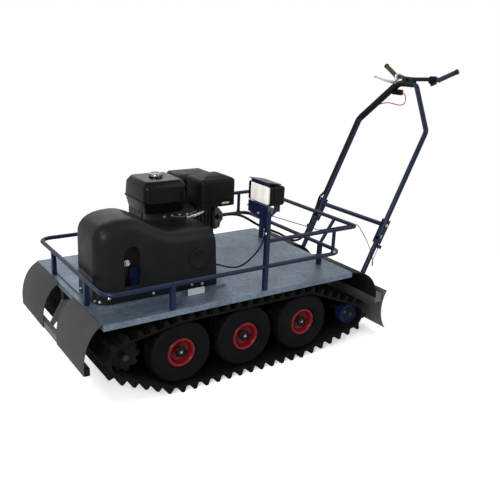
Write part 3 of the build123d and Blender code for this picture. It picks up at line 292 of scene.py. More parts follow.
def galvanised_sheet():
    """Hot-dip galvanised sheet: flat zinc crystals in slightly different greys, under dull wet stains."""
    material, shader, place = surface("galvanised_sheet", Metallic=0.55)
    crystal_size, stain_size = 11 * MM, 120 * MM
    crystal = add(material, "ShaderNodeTexVoronoi",
                  inputs={"Vector": place, "Scale": 1 / crystal_size, "Randomness": 1})
    shade = add(material, "ShaderNodeSeparateColor", inputs={"Color": crystal.outputs["Color"]})
    zinc = add(material, "ShaderNodeMix", {"data_type": "RGBA"},
               {"Factor": shade.outputs["Red"], "A": colour("#5d6b7a"), "B": colour("#70808f")})
    cloud = add(material, "ShaderNodeTexNoise",
                inputs={"Vector": place, "Scale": 1 / stain_size, "Detail": 6})
    stain = add(material, "ShaderNodeMapRange",
                inputs={"Value": cloud.outputs["Fac"], "From Min": 0.35, "From Max": 0.7, "To Max": 0.7})
    stained = add(material, "ShaderNodeMix", {"data_type": "RGBA"},
                  {"Factor": stain.outputs["Result"], "A": zinc.outputs["Result"], "B": colour("#434e5a")})
    dulling = add(material, "ShaderNodeMapRange",
                  inputs={"Value": shade.outputs["Green"], "To Min": 0.36, "To Max": 0.52})
    return feed(material, shader, Base_Color=stained.outputs["Result"], Roughness=dulling.outputs["Result"])


def lamp_glass():
    """Pressed lamp glass over its reflector: glossy, with upright flutes; its pale warm white colour,
    lighter along the flutes, is painted reflection of the light the reflector throws back.
    """
    material, shader, place = surface("lamp_glass", IOR=1.5, Roughness=0.12, Coat_Weight=0.6)
    flute_scale, flute_depth = 1 / (180 * MM), 1 * MM
    flute = add(material, "ShaderNodeTexWave", {"wave_type": "BANDS", "bands_direction": "Y"},
                {"Vector": place, "Scale": flute_scale}).outputs["Fac"]
    # Painted reflection: a near-white colour, lighter along each flute, stands in for the reflector's light
    # seen through the glass
    pale = add(material, "ShaderNodeMix", {"data_type": "RGBA"},
               {"Factor": flute, "A": colour("#f4efe2"), "B": colour("#fffdf8")})
    relief = add(material, "ShaderNodeBump",
                 inputs={"Strength": 0.4, "Distance": flute_depth, "Height": flute})
    return feed(material, shader, Base_Color=pale.outputs["Result"], Normal=relief.outputs["Normal"])


GALVANISED = galvanised_sheet()

# Paints: clean and dusty colour, roughness, coat and shine
BLUE_PAINT = painted_steel("blue_powder_coat", "#09142e", "#101c39", 0.36, 0.05)
RED_PAINT = painted_steel("red_wheel_enamel", "#6d0b11", "#560b10", 0.36, 0.1)
BLACK_PAINT = painted_steel("black_tank_enamel", "#060709", "#0a0b0e", 0.22, 0.06, 0.06)
SATIN_BLACK = painted_steel("black_heat_paint", "#101011", "#191817", 0.5, 0.0)
LABEL_FOIL = painted_steel("bare_label_foil", "#c3c6c9", "#b7babd", 0.4, 0.0)

# Rubbers and plastics: clean and dusty colour, roughness, grain in millimetres, its strength, and shine.
# A grain too fine to show is drawn coarser than the real one.
TRACK_RUBBER = moulded("track_rubber", "#060607", "#111112", 0.72, 4, 0.5, 0.08)
TYRE_RUBBER = moulded("tyre_rubber", "#06070a", "#0d0e11", 0.62, 3, 0.2, 0.06)
FLAP_RUBBER = moulded("black_sheet_rubber", "#0e0e0e", "#181716", 0.6, 3, 0.2)
GUARD_RUBBER = moulded("grey_sheet_rubber", "#3a3c3f", "#454648", 0.62, 2, 0.2)
COVER_PLASTIC = moulded("black_polyethylene", "#111215", "#18181a", 0.36, 1.6, 0.15, 0.1)
BLACK_PLASTIC = moulded("black_abs", "#0a0a0c", "#111113", 0.42, 1.2, 0.15, 0.08)
CABLE_PVC = moulded("black_cable_pvc", "#0b0b0c", "#131316", 0.5, 2, 0.1)
RED_CORD = moulded("red_cord_jacket", "#b30f19", "#961018", 0.5, 1, 0.3)
LEFT_GRIP = moulded("blue_grey_grip_rubber", "#2a3445", "#384457", 0.36, 1.5, 0.2)
RIGHT_GRIP = moulded("olive_grip_rubber", "#4a4232", "#5a5140", 0.6, 1.5, 0.3)

# Metals: bright and dull colour, roughness, how metallic, grain in millimetres and its strength
ZINC = bare_metal("zinc_plated_steel", "#c9ccd0", "#9a9ca0", 0.28, 1.0, 3, 0.05)
CHROME = bare_metal("dulled_chrome_plate", "#8f8c85", "#6c6964", 0.26, 1.0, 6, 0.02)
CAST_ALLOY = bare_metal("sand_cast_alloy", "#5b5853", "#3a3733", 0.5, 0.7, 1.2, 0.35)
DARK_CASTING = bare_metal("oiled_dark_casting", "#1d1b18", "#100f0e", 0.55, 0.4, 1.5, 0.4)
GREY_STEEL = bare_metal("hot_rolled_steel", "#6f6d68", "#54514c", 0.5, 0.45, 2, 0.2)

LAMP_GLASS = lamp_glass()

# Nodes that stay in sight, by finish
NODE_FINISH = (
    (GALVANISED, ("deck", "engine_base")),
    (BLUE_PAINT, ("chassis_frame", "lower_rail", "upper_rail", "rail_posts", "rail_braces", "lamp_post",
                  "lamp_bracket", "handle_legs", "handle_frame")),
    (GREY_STEEL, ("axle_hangers", "front_crossbar", "rear_beam", "rear_snow_plate", "tow_hitch")),
    (DARK_CASTING, ("axles", "engine_cylinder", "belt_pulleys")),
    (TRACK_RUBBER, ("track_left", "track_right")),
    (BLACK_PLASTIC, ("drive_sprockets", "crossbar_caps")),
    (SATIN_BLACK, ("drive_backplate", "handlebar", "bar_clamps")),
    (CABLE_PVC, ("handle_conduit", "lamp_wire")),
)


# Modelling helpers: the first ones work on the piece that is open in edit mode

def select_all():
    """Selects the whole piece."""
    bpy.ops.mesh.select_all(action="SELECT")


def select_none():
    """Clears the selection."""
    bpy.ops.mesh.select_all(action="DESELECT")


def bevel(width, segments):
    """Rounds the selected edges."""
    bpy.ops.mesh.bevel(offset=width * MM, segments=segments, affect="EDGES")


def inset(width, depth=0):
    """Draws a border inside the selected faces, and raises what it encloses."""
    bpy.ops.mesh.inset(thickness=width * MM, depth=depth * MM)


def raise_faces(height):
    """Draws the selected faces out along their normals; a negative height presses them in."""
    bpy.ops.mesh.extrude_region_shrink_fatten(TRANSFORM_OT_shrink_fatten={"value": height * MM})


def draw_out(step):
    """Extrudes the selection along a step in metres."""
    bpy.ops.mesh.extrude_region_move(TRANSFORM_OT_translate={"value": step})


def scale(value, **about):
    """Scales the selection about its own middle or a given centre."""
    bpy.ops.transform.resize(value=value, **about)


def cut(place, normal, clear=False):
    """Cuts the piece along a plane, and may clear what lies behind it."""
    select_all()
    bpy.ops.mesh.bisect(plane_co=place, plane_no=normal, clear_inner=clear)


def merge_points():
    """Makes points in the same place one."""
    select_all()
    bpy.ops.mesh.remove_doubles(threshold=SAME)


def face_outwards():
    """Turns every face's normal outwards."""
    select_all()
    bpy.ops.mesh.normals_make_consistent(inside=False)


def pick(kind, test):
    """Selects each face, edge or vertex whose middle and direction pass the test."""
    bpy.ops.mesh.select_mode(type=kind)
    select_none()
    data = bpy.context.object.data
    mesh = bmesh.from_edit_mesh(data)
    mesh.normal_update()
    for item in {"FACE": mesh.faces, "EDGE": mesh.edges, "VERT": mesh.verts}[kind]:
        corners = [item.co] if kind == "VERT" else [v.co for v in item.verts]
        middle = sum(corners, Vector()) / len(corners)
        way = (corners[1] - corners[0]).normalized() if kind == "EDGE" else item.normal
        item.select_set(bool(test(middle, way)))
    mesh.select_flush_mode()
    bmesh.update_edit_mesh(data)


def round_edges(test, width, segments):
    """Rounds each edge whose middle and direction pass the test."""
    pick("EDGE", test)
    bevel(width, segments)


def runs_along(axis):
    """A test for edges that run along an axis."""
    return lambda c, d: abs(getattr(d, axis)) > 0.9


def sector(across, up, degrees):
    """The number of the sector that a direction falls in."""
    return int(math.degrees(math.atan2(up, across)) // degrees)


def make_active(piece):
    """Selects one object alone."""
    bpy.ops.object.select_all(action="DESELECT")
    piece.select_set(True)
    bpy.context.view_layer.objects.active = piece


def open_piece(piece, name):
    """Names a new primitive, puts its place in its mesh and opens it."""
    piece.name = piece.data.name = name
    bpy.ops.object.transform_apply(location=True, rotation=True, scale=True)
    bpy.ops.object.mode_set(mode="EDIT")
    return piece


def add_block(name, low, high):
    """A box between two corners, in edit mode."""
    bpy.ops.mesh.primitive_cube_add(size=1, location=(low + high) / 2)
    piece = bpy.context.object
    piece.scale = high - low
    return open_piece(piece, name)


def add_stub(middle, axis, radius, length, edge, sides):
    """Adds a short bar with rounded ends to the piece."""
    turn = UP.rotation_difference(axis).to_euler()
    select_none()
    bpy.ops.mesh.primitive_cylinder_add(vertices=sides, radius=radius * MM, depth=length * MM,
                                        location=middle, rotation=turn)
    bevel(edge, 2)


def draw_line(name, points):
    """A run of edges through points, in edit mode, drawn by extruding one vertex."""
    bpy.ops.mesh.primitive_plane_add(size=1, location=points[0])
    piece = open_piece(bpy.context.object, name)
    bpy.ops.mesh.select_mode(type="VERT")
    bpy.ops.mesh.merge(type="CENTER")
    for here, there in zip(points, points[1:]):
        draw_out(there - here)
    return piece


def draw_slab(name, outline, y, depth):
    """A side view's (x, z) points in millimetres, filled and drawn out sideways, in edit mode."""
    piece = draw_line(name, [at(x, y, z) for x, z in outline + outline[:1]])
    merge_points()
    bpy.ops.mesh.edge_face_add()
    draw_out((0, depth * MM, 0))
    face_outwards()
    return piece


def turn_profile(name, profile, middle, axis, steps):
    """A turned body: (along, radius) pairs in millimetres, spun about an axis through middle."""
    axis = Vector(axis).normalized()
    side = axis.orthogonal().normalized()
    piece = draw_line(name, [middle + axis * a * MM + side * r * MM for a, r in profile])
    select_all()
    bpy.ops.mesh.spin(steps=steps, angle=2 * math.pi, center=middle, axis=axis)
    merge_points()
    face_outwards()
    return piece


def smooth_curve(name, points, radius, rounds, steps):
    """A round curve object along smooth points."""
    data = bpy.data.curves.new(name, "CURVE")
    data.dimensions = "3D"
    data.bevel_depth = radius * MM
    data.bevel_resolution = rounds
    data.use_fill_caps = True
    spline = data.splines.new("NURBS")
    spline.points.add(len(points) - 1)
    for point, place in zip(spline.points, points):
        point.co = (*place, 1)
    spline.order_u = 3
    spline.use_endpoint_u = True
    spline.resolution_u = steps
    curve = bpy.data.objects.new(name, data)
    bpy.context.scene.collection.objects.link(curve)
    return curve


def make_tube(name, points, radius, shares=()):
    """A round bar along smooth points, as a mesh; shares scale its radius at each point."""
    tube = smooth_curve(name, points, radius, rounds=3, steps=6)
    for point, share in zip(tube.data.splines[0].points, shares):
        point.radius = share
    make_active(tube)
    bpy.ops.object.convert(target="MESH")
    return bpy.context.object


def apply_modifier(piece, kind, **settings):
    """Adds one modifier and applies it, out of edit mode."""
    bpy.ops.object.mode_set(mode="OBJECT")
    modifier = piece.modifiers.new(kind.lower(), kind)
    for name, value in settings.items():
        setattr(modifier, name, value)
    make_active(piece)
    bpy.ops.object.modifier_apply(modifier=modifier.name)


def place_copies(piece, moves):
    """Copies of one modelled piece, put in place and joined."""
    bpy.ops.object.mode_set(mode="OBJECT")
    name, made = piece.name, []
    for move in moves:
        copy = piece.copy()
        copy.data = piece.data.copy()
        copy.data.transform(move)
        bpy.context.scene.collection.objects.link(copy)
        made.append(copy)
    bpy.data.objects.remove(piece)
    make_active(made[0])
    for copy in made:
        copy.select_set(True)
    bpy.ops.object.join()
    made[0].name = made[0].data.name = name
    return made[0]


def close_piece(piece, finish, body="chassis", nodes=(), angle=35):
    """Leaves edit mode, smooths the piece and hands it to its body."""
    bpy.ops.object.mode_set(mode="OBJECT")
    make_active(piece)
    bpy.ops.object.shade_smooth_by_angle(angle=math.radians(angle))
    piece.data.materials.clear()
    piece.data.materials.append(finish)
    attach(piece, body)
    if nodes:
        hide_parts(*nodes)


def make_bolts(name, seats, size):
    """Hex bolts with washers, one modelled and the rest copied; a seat is a place and the way out."""
    washer, head = 0.15 * size * MM, 0.6 * size * MM
    bpy.ops.mesh.primitive_cylinder_add(vertices=24, radius=size * MM, depth=washer,
                                        location=(0, 0, washer / 2))
    bolt = open_piece(bpy.context.object, name)
    round_edges(lambda c, d: c.z > 0.9 * washer and abs(d.z) < 0.1, 0.04 * size, 2)
    bpy.ops.mesh.primitive_cylinder_add(vertices=6, radius=0.82 * size * MM, depth=head,
                                        location=(0, 0, washer + head / 2))
    pick("FACE", lambda c, n: n.z > 0.99 and c.z > washer + 0.9 * head)
    inset(0.12 * size, 0.07 * size)
    moves = []
    for seat, out in seats:
        turn = UP.rotation_difference(out)
        moves.append(Matrix.Translation(at(*seat)) @ turn.to_matrix().to_4x4())
    close_piece(place_copies(bolt, moves), ZINC, angle=25)


# Wheels and guards

def wheel_places():
    """Where each of the twelve wheels stands, its outer face turned outwards."""
    moves = []
    for x in WHEEL_X:
        for y in TWIN_Y:
            moves.append(Matrix.Translation(at(x, y, WHEEL_Z)))
            moves.append(Matrix.Translation(at(x, -y, WHEEL_Z)) @ Matrix.Rotation(math.pi, 4, "Z"))
    return moves


def make_tyres():
    """A tyre with a rounded crown, ribbed walls and cross grooves in its tread."""
    half, r = TYRE_HALF, TYRE_RADIUS
    outer = [(half - 12, RIM_RADIUS + 1), (half - 5, RIM_RADIUS + 4), (half - 3, RIM_RADIUS + 10),
             (half - 1.5, RIM_RADIUS + 11), (half, r - 46), (half, r - 30), (half - 1.5, r - 22),
             (half - 1.2, r - 19), (half - 5, r - 11), (half - 11, r - 4), (half - 18, r - 1.5), (6, r)]
    profile = [(-a, rad) for a, rad in outer] + outer[::-1] + [(-(half - 12), RIM_RADIUS + 1)]
    tyre = turn_profile("road_tyres", profile, Vector(), LEFT, steps=60)
    pick("FACE", lambda c, n: math.hypot(c.x, c.z) > (r - 4) * MM and abs(c.y) > 8 * MM
         and sector(c.x, c.z, 6) % 3 == 0)
    raise_faces(-TREAD_DEPTH)
    close_piece(place_copies(tyre, wheel_places()), TYRE_RUBBER, nodes=["tyres"])


def make_rims():
    """A pressed wheel: rolled edge, deep dish, flat web with a boss round the bearing, and its valve."""
    r = RIM_RADIUS
    lip = [(20, r), (32, r), (35.5, r - 1), (38, r - 3.5), (39, r - 7), (38, r - 10.5), (35.5, r - 13),
           (31, r - 14.5)]
    dish = [(18, r - 16.5), (12, r - 19), (8, r - 24), (7, 30), (10, 27), (11, 20), (27, 19), (28, 17.5),
            (28, 10)]
    back = [(-28, 10), (-28, 19), (3, 19), (3, 30), (4, r - 23), (8, r - 16), (14, r - 14), (20, r - 13),
            (20, r)]
    rim = turn_profile("wheel_discs", lip + dish + back, Vector(), LEFT, steps=48)
    add_stub(VALVE_PLACE * MM, LEFT, VALVE_RADIUS, VALVE_LENGTH, edge=1, sides=12)
    close_piece(place_copies(rim, wheel_places()), RED_PAINT, nodes=["wheel_rims"])


def make_hubs():
    """Dark bearing hubs in the wheels' outer faces: a stepped cap with a sunk ring."""
    profile = [(26, 0), (26, 23), (28.5, 23), (HUB_FACE, 21.5), (HUB_FACE, 17), (28.4, 16), (28.4, 11),
               (HUB_FACE, 10), (HUB_FACE, 0)]
    hub = turn_profile("wheel_hubs", profile, Vector(), LEFT, steps=36)
    outer = [move for move in wheel_places() if abs(move.translation.y) > sum(TWIN_Y) / 2 * MM]
    close_piece(place_copies(hub, outer), BLACK_PLASTIC)


def make_idlers():
    """Rear idlers: a drum with a dished face each side, a rim bead and a boss round the axle."""
    r, half = IDLER_RADIUS, IDLER_HALF
    face = [(half, r - 1), (half, r - 6), (half - 6, r - 9), (half - 9, 25), (half - 3, 21),
            (half - 1, 19), (half - 1, 10.5)]
    profile = [(half - 1, r)] + face + [(-a, rad) for a, rad in face[::-1]] + [(1 - half, r), (half - 1, r)]
    drum = turn_profile("idler_drums", profile, Vector(), LEFT, steps=48)
    moves = [Matrix.Translation(at(IDLER_X, side * y, IDLER_Z)) for y in TWIN_Y for side in (-1, 1)]
    close_piece(place_copies(drum, moves), BLUE_PAINT, nodes=["idler_wheels"])


def make_guards(name, shape, finish, node):
    """A pair of rubber sheets: a bent side view drawn out sideways and thickened."""
    (x, z), first = shape["middle"], shape["first"]
    turns = [math.radians(first + (90 - first) * k / GUARD_STEPS) for k in range(GUARD_STEPS + 1)]
    profile = [(x + shape["reach"] * math.sin(t), z + shape["rise"] * math.cos(t)) for t in turns]
    profile.append((x + shape["reach"], shape["foot"]))
    sheet = draw_line(name, [at(px, GUARD_Y[0], pz) for px, pz in profile])
    select_all()
    draw_out((0, (GUARD_Y[1] - GUARD_Y[0]) * MM, 0))
    apply_modifier(sheet, "SOLIDIFY", thickness=GUARD_SHEET * MM, offset=0)
    apply_modifier(sheet, "BEVEL", width=GUARD_EDGE * MM, segments=2, limit_method="ANGLE",
                   angle_limit=math.radians(60))
    moves = [Matrix.Identity(4), Matrix.Translation((0, -sum(GUARD_Y) * MM, 0))]
    close_piece(place_copies(sheet, moves), finish, nodes=[node])


# Engine and drive

def cover_outline():
    """The cover's side view, longer and lower than it stays: blunt front, crown, and a fall to the step."""
    spare = COVER_ROUND + COVER_SPARE
    end, low, front = COVER_X[0] - spare, COVER_BASE - spare, COVER_X[1]
    outline = [(end, low), (front, low)]
    for k in range(FRONT_STEPS + 1):
        turn = math.pi / 2 * k / FRONT_STEPS
        ahead = (front - COVER_LEAN - COVER_PEAK) * math.cos(turn) ** COVER_BLUNT
        rise = COVER_BROW * math.sin(turn) ** COVER_BLUNT
        outline.append((COVER_PEAK + ahead, COVER_CROWN - COVER_BROW + rise))
    for k in range(1, FALL_STEPS + 1):
        fall = (1 - math.cos(math.pi * k / FALL_STEPS)) / 2
        outline.append((COVER_PEAK - COVER_FALL * k / FALL_STEPS,
                        COVER_CROWN - (COVER_CROWN - COVER_STEP) * fall))
    return outline + [(end, COVER_STEP)]


def make_cover():
    """Moulded belt cover: its side view filled, its near rim rolled over in steps, hollow, with a slot."""
    far, straight = COVER_Y[0], COVER_Y[1] - COVER_Y[0] - COVER_ROUND
    cover = draw_slab("belt_cover_shell", cover_outline(), far, straight)
    inward, outward = 0, 0
    for k in range(1, ROLL_STEPS + 1):
        turn = math.pi / 2 * k / ROLL_STEPS
        inward_now, outward_now = COVER_ROUND * (1 - math.cos(turn)), COVER_ROUND * math.sin(turn)
        pick("FACE", lambda c, n: c.y > (far + straight + outward) * MM - NEAR)
        inset(inward_now - inward, outward_now - outward)
        inward, outward = inward_now, outward_now
    pick("FACE", lambda c, n: c.y < far * MM + NEAR)
    bpy.ops.mesh.delete(type="FACE")
    cut(at(0, 0, COVER_BASE), UP, clear=True)
    cut(at(COVER_X[0], 0, COVER_STEP), COVER_REAR_CUT, clear=True)
    apply_modifier(cover, "SOLIDIFY", thickness=COVER_WALL * MM, offset=-1)
    cutter = make_slot_cutter()
    apply_modifier(cover, "BOOLEAN", operation="DIFFERENCE", object=cutter, solver="EXACT")
    bpy.data.objects.remove(cutter)
    close_piece(cover, COVER_PLASTIC, nodes=["drive_cover"], angle=25)


def make_slot_cutter():
    """The slot in the cover's side: a cylinder whose lower half is drawn down to the slot's foot."""
    bpy.ops.mesh.primitive_cylinder_add(vertices=32, radius=SLOT_RADIUS * MM, depth=SLOT_DEPTH * MM,
                                        location=at(SLOT_X, COVER_Y[1], SLOT_Z[1]),
                                        rotation=(math.pi / 2, 0, 0))
    cutter = open_piece(bpy.context.object, "slot_cutter")
    pick("VERT", lambda c, n: c.z < SLOT_Z[1] * MM - NEAR)
    scale((1, 1, 0), center_override=at(0, 0, SLOT_Z[0]))
    bpy.ops.object.mode_set(mode="OBJECT")
    return cutter


def on_cover_corner(degrees, z):
    """A place on the cover's rounded front corner, and the way its surface faces there."""
    out = Vector((math.cos(math.radians(degrees)), math.sin(math.radians(degrees)), 0))
    middle = Vector((COVER_X[1] - BOLT_SINK - COVER_ROUND, COVER_Y[1] - COVER_ROUND, z))
    return middle + out * COVER_ROUND, out


def make_crank_disc():
    """A shallow pressed disc on the cover, over the crank pulley."""
    r = DISC_RADIUS
    disc = turn_profile("crank_disc", [(-1, r), (2.5, r), (4.5, r - 3), (4.5, r - 8), (2.5, r - 12), (2, 0)],
                        at(DISC_X, COVER_Y[1], DISC_Z), LEFT, steps=40)
    close_piece(disc, COVER_PLASTIC)


def make_blank_plate():
    """A bare upright plate on the deck beside the cover, with a flat foot towards it."""
    plate = add_block("blank_plate", at(*PLATE_LOW), at(*PLATE_HIGH))
    round_edges(lambda c, d: abs(d.y) > 0.9 and c.z > PLATE_HIGH[2] * MM - NEAR, 3, 2)
    pick("VERT", lambda c, n: c.z < PLATE_LOW[2] * MM + NEAR)
    bpy.ops.mesh.select_mode(type="FACE")
    draw_out((0, 0, 0))
    bpy.ops.transform.translate(value=(0, -PLATE_FOOT * MM, 0))
    close_piece(plate, LABEL_FOIL)


def make_drive_bracket():
    """The blue bracket behind the cover's slot: an upright that widens to its foot, with a rounded top."""
    low, high = at(*BRACKET_LOW), at(*BRACKET_HIGH)
    upright = add_block("drive_bracket", low, high)
    pick("VERT", lambda c, n: c.z < low.z + NEAR)
    scale((BRACKET_SPREAD, 1, 1), center_override=(low + high) / 2)
    round_edges(lambda c, d: abs(d.y) > 0.9 and c.z > high.z - NEAR, 12, 3)
    close_piece(upright, BLUE_PAINT)


def make_tank():
    """Pressed fuel tank: the lower half tapers in, the top is chamfered, and its welded seam stands out."""
    low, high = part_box("fuel_tank")
    middle, seam, shoulder = (low + high) / 2, low.z + 48 * MM, high.z - 24 * MM
    seam_half, edge = 2 * MM, Vector((1, 1, 0)) * MM
    tank = add_block("fuel_tank_shell", low + edge, high - edge)
    round_edges(runs_along("z"), 26, 5)
    for z in (seam - seam_half, seam + seam_half, shoulder):
        cut((0, 0, z), UP)
    for z, share in ((low.z, 0.9), (shoulder, 0.965), (high.z, 0.8)):
        pick("VERT", lambda c, n: abs(c.z - z) < NEAR)
        scale((share, share, 1), center_override=middle)
    round_edges(lambda c, d: abs(d.z) < 0.1 and min(abs(c.z - shoulder), abs(c.z - high.z)) < NEAR, 5, 3)
    pick("FACE", lambda c, n: abs(c.z - seam) < seam_half - NEAR)
    raise_faces(4)
    close_piece(tank, BLACK_PAINT, nodes=["fuel_tank"])


def make_fuel_cap():
    """Turned filler cap with grip ridges round its skirt and a dished top."""
    low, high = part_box("fuel_cap")
    r = (high.x - low.x) / 2 / MM - 1.5
    foot = Vector(((low.x + high.x) / 2, (low.y + high.y) / 2, low.z))
    profile = [(0, 0), (0, r - 4), (3, r - 1), (4, r), (13, r), (15.5, r - 1.5), (17.5, r - 5),
               (17.5, r - 9), (15, r - 12), (14, 0)]
    cap = turn_profile("filler_cap", profile, foot, UP, steps=48)
    pick("FACE", lambda c, n: abs(n.z) < 0.1 and 5 * MM < c.z - low.z < 12 * MM
         and sector(c.x - foot.x, c.y - foot.y, 7.5) % 2 == 0)
    raise_faces(1.4)
    close_piece(cap, CHROME, nodes=["fuel_cap"])


def cut_grooves(heights, normal, depth):
    """Cuts the piece at each pair of heights, and presses the faces of one side between them inwards."""
    for pair in heights:
        for z in pair:
            cut((0, 0, z), UP)
    pick("FACE", lambda c, n: n.dot(normal) > 0.95 and any(a < c.z < b for a, b in heights))
    inset(1.2)
    raise_faces(-depth)


def make_air_cleaner():
    """Air cleaner box: crowned lid, a groove above the tray, louvres across its front, and a clip."""
    low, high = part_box("air_cleaner")
    case = add_block("air_cleaner_case", low, high)
    round_edges(runs_along("z"), 20, 5)
    round_edges(lambda c, d: c.z > high.z - NEAR and abs(d.z) < 0.1, 19, 5)
    pick("FACE", lambda c, n: n.z > 0.99 and c.z > high.z - NEAR)
    for upward, share in ((6, 0.8), (4, 0.7)):
        draw_out((0, 0, upward * MM))
        scale((share, share, 1))
    parting, groove_half = low.z + 26 * MM, 1.5 * MM
    cut_grooves([(parting - groove_half, parting + groove_half)], FRONT, depth=3)
    pick("FACE", lambda c, n: abs(c.z - parting) < 1.2 * MM and c.x < high.x - 2 * MM)
    raise_faces(-3)
    slats = [(low.z + z * MM, low.z + (z + 5) * MM) for z in range(40, 85, 11)]
    cut_grooves(slats, FRONT, depth=4)
    close_piece(case, BLACK_PLASTIC, nodes=["air_cleaner"])
    clip = add_block("air_cleaner_clip", at(*CLIP_LOW), at(*CLIP_HIGH))
    round_edges(runs_along("y"), 3, 2)
    close_piece(clip, ZINC)


def make_muffler():
    """Muffler under its heat guard: rolled edges, and rows of slots pressed in its right side."""
    low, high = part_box("muffler")
    guard = add_block("muffler_guard", low, high)
    round_edges(runs_along("x"), 24, 5)
    round_edges(lambda c, d: abs(d.x) < 0.1 and (c.x > high.x - NEAR or c.x < low.x + NEAR), 12, 4)
    rows = [(low.z + z * MM, low.z + (z + 8) * MM) for z in range(34, 83, 16)]
    cut_grooves(rows, -LEFT, depth=5)
    close_piece(guard, SATIN_BLACK, nodes=["muffler"])


def make_starter():
    """Recoil starter: a pressed dome with a ring of air slots and a flat boss at its middle."""
    low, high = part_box("recoil_starter")
    r, deep = (high.x - low.x) / 2 / MM, (high.y - low.y) / MM
    middle = Vector(((low.x + high.x) / 2, high.y, (low.z + high.z) / 2))
    profile = [(0, 0), (0, r), (deep * 0.5, r - 2), (deep * 0.7, r - 10), (deep * 0.85, r - 26),
               (deep * 0.92, r - 50), (deep * 0.92, 34), (deep, 28), (deep, 0)]
    dome = turn_profile("starter_dome", profile, middle, -LEFT, steps=48)

    def in_slot(c, n):
        across, up = c.x - middle.x, c.z - middle.z
        in_ring = (r - 48) * MM < math.hypot(across, up) < (r - 28) * MM and c.y < high.y - 5 * MM
        return in_ring and sector(across, up, 7.5) % 2 == 0

    pick("FACE", in_slot)
    inset(1.5)
    raise_faces(-7)
    close_piece(dome, BLACK_PLASTIC, nodes=["recoil_starter"])


def make_engine_lever():
    """Plated throttle arm below the tank: a flat strip cranked at its middle."""
    start = at(*ARM_START)
    arm = add_block("throttle_arm", start - ARM_HALF * MM, start + ARM_HALF * MM)
    pick("FACE", lambda c, n: n.x < -0.9)
    for step in ARM_STEPS:
        draw_out(Vector(step) * MM)
        scale((1, 1, 0.9), center_override=at(*ARM_END))
    select_all()
    bevel(0.8, 2)
    close_piece(arm, ZINC)


def make_crankcase():
    """Crankcase: a rounded block with a foot and a raised joint, its oil filler and the governor's rod."""
    low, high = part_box("engine_crankcase")
    joint, joint_end, foot = high.y - 62 * MM, high.y - 53 * MM, low.z + 12 * MM
    case = add_block("crankcase_casting", low, high)
    round_edges(lambda c, d: c.z > low.z + NEAR, 16, 4)
    cut((0, 0, foot), UP)
    cut((0, joint, 0), LEFT)
    cut((0, joint_end, 0), LEFT)
    pick("FACE", lambda c, n: joint < c.y < joint_end and abs(n.y) < 0.1 and n.z > -0.9)
    raise_faces(4)
    pick("FACE", lambda c, n: c.z < foot and abs(n.z) < 0.1)
    raise_faces(5)
    pick("FACE", lambda c, n: n.x > 0.95 and c.y < joint)
    inset(14)
    raise_faces(-5)
    close_piece(case, DARK_CASTING, nodes=["engine_crankcase"])
    profile = [(-6, 0), (-6, 17), (6, 17), (8, 15), (8, 11), (22, 10), (24, 8), (24, 0)]
    neck = Vector((high.x, low.y + 50 * MM, low.z + 44 * MM))
    filler = turn_profile("oil_filler", profile, neck, (1, 0, 0.35), steps=24)
    close_piece(filler, BLACK_PLASTIC)
    rod = make_tube("governor_rod", places(GOVERNOR_ROD), GOVERNOR_RADIUS)
    close_piece(rod, GREY_STEEL)


def make_head():
    """Cylinder head cover: its chamfered side view drawn across the engine, with a plug cap at its side."""
    head = draw_slab("head_cover", HEAD_SIDE, HEAD_Y[0], HEAD_Y[1] - HEAD_Y[0])
    bevel(3, 2)
    pick("FACE", lambda c, n: n.y > 0.99)
    inset(6)
    raise_faces(-3)
    close_piece(head, CAST_ALLOY)
    profile = [(-6, 0), (-6, 11), (4, 12), (8, 9), (24, 8), (30, 6), (31, 0)]
    plug = turn_profile("plug_cap", profile, at(*PLUG_PLACE), PLUG_AXIS, steps=20)
    close_piece(plug, CABLE_PVC)


# Lamp

def make_lamp():
    """Work lamp's housing: rounded at the rear, with a sunk face inside a bezel and a groove round it."""
    low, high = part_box("lamp_housing")
    groove_front, groove_rear = high.x - 14 * MM, high.x - 18 * MM
    case = add_block("lamp_case", low, high)
    round_edges(runs_along("x"), 10, 4)
    round_edges(lambda c, d: c.x < low.x + NEAR and abs(d.x) < 0.1, 16, 4)
    pick("FACE", lambda c, n: n.x > 0.95)
    inset(2.5)
    raise_faces(-6)
    for x in (groove_front, groove_rear):
        cut((x, 0, 0), FRONT)
    pick("FACE", lambda c, n: groove_rear < c.x < groove_front and abs(n.x) < 0.1)
    raise_faces(-2)
    close_piece(case, BLACK_PLASTIC, "headlamp", ["lamp_housing"])


def make_lamp_glass():
    """The lamp's glass: a plate with rounded corners that stands just proud of the housing."""
    low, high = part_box("lamp_lens")
    lap, proud = Vector((0, 2.5, 2.5)) * MM, 3 * MM
    glass = add_block("lamp_glass_plate", low - lap, high + lap + Vector((proud, 0, 0)))
    round_edges(runs_along("x"), 7, 4)
    round_edges(lambda c, d: c.x > high.x + proud - NEAR and abs(d.x) < 0.1, 1.5, 3)
    close_piece(glass, LAMP_GLASS, "headlamp", ["lamp_lens"])


def make_visor():
    """Visor over the lamp: a thin plate that rises towards the front, and a lip along the glass."""
    low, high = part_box("lamp_visor")
    middle = (low + high) / 2
    plate = add_block("lamp_visor_plate", Vector((low.x, low.y, high.z - VISOR_SHEET * MM)), high)
    pick("VERT", lambda c, n: c.x > middle.x)
    bpy.ops.transform.translate(value=(-VISOR_BACK * MM, 0, VISOR_RISE * MM))
    pick("VERT", lambda c, n: c.x < middle.x)
    bpy.ops.transform.translate(value=(0, 0, -VISOR_DROP * MM))
    round_edges(lambda c, d: abs(d.y) < 0.5 and abs(d.x) < 0.2, 6, 3)
    lip_size = (LIP_THICK * MM, high.y - low.y - 2 * MM, high.z - low.z + 3 * MM)
    lip_place = (high.x - LIP_BEHIND * MM, middle.y, middle.z + 0.5 * MM)
    select_none()
    bpy.ops.mesh.primitive_cube_add(size=1, scale=lip_size, location=lip_place)
    bevel(1, 2)
    close_piece(plate, BLUE_PAINT, "headlamp", ["lamp_visor"])


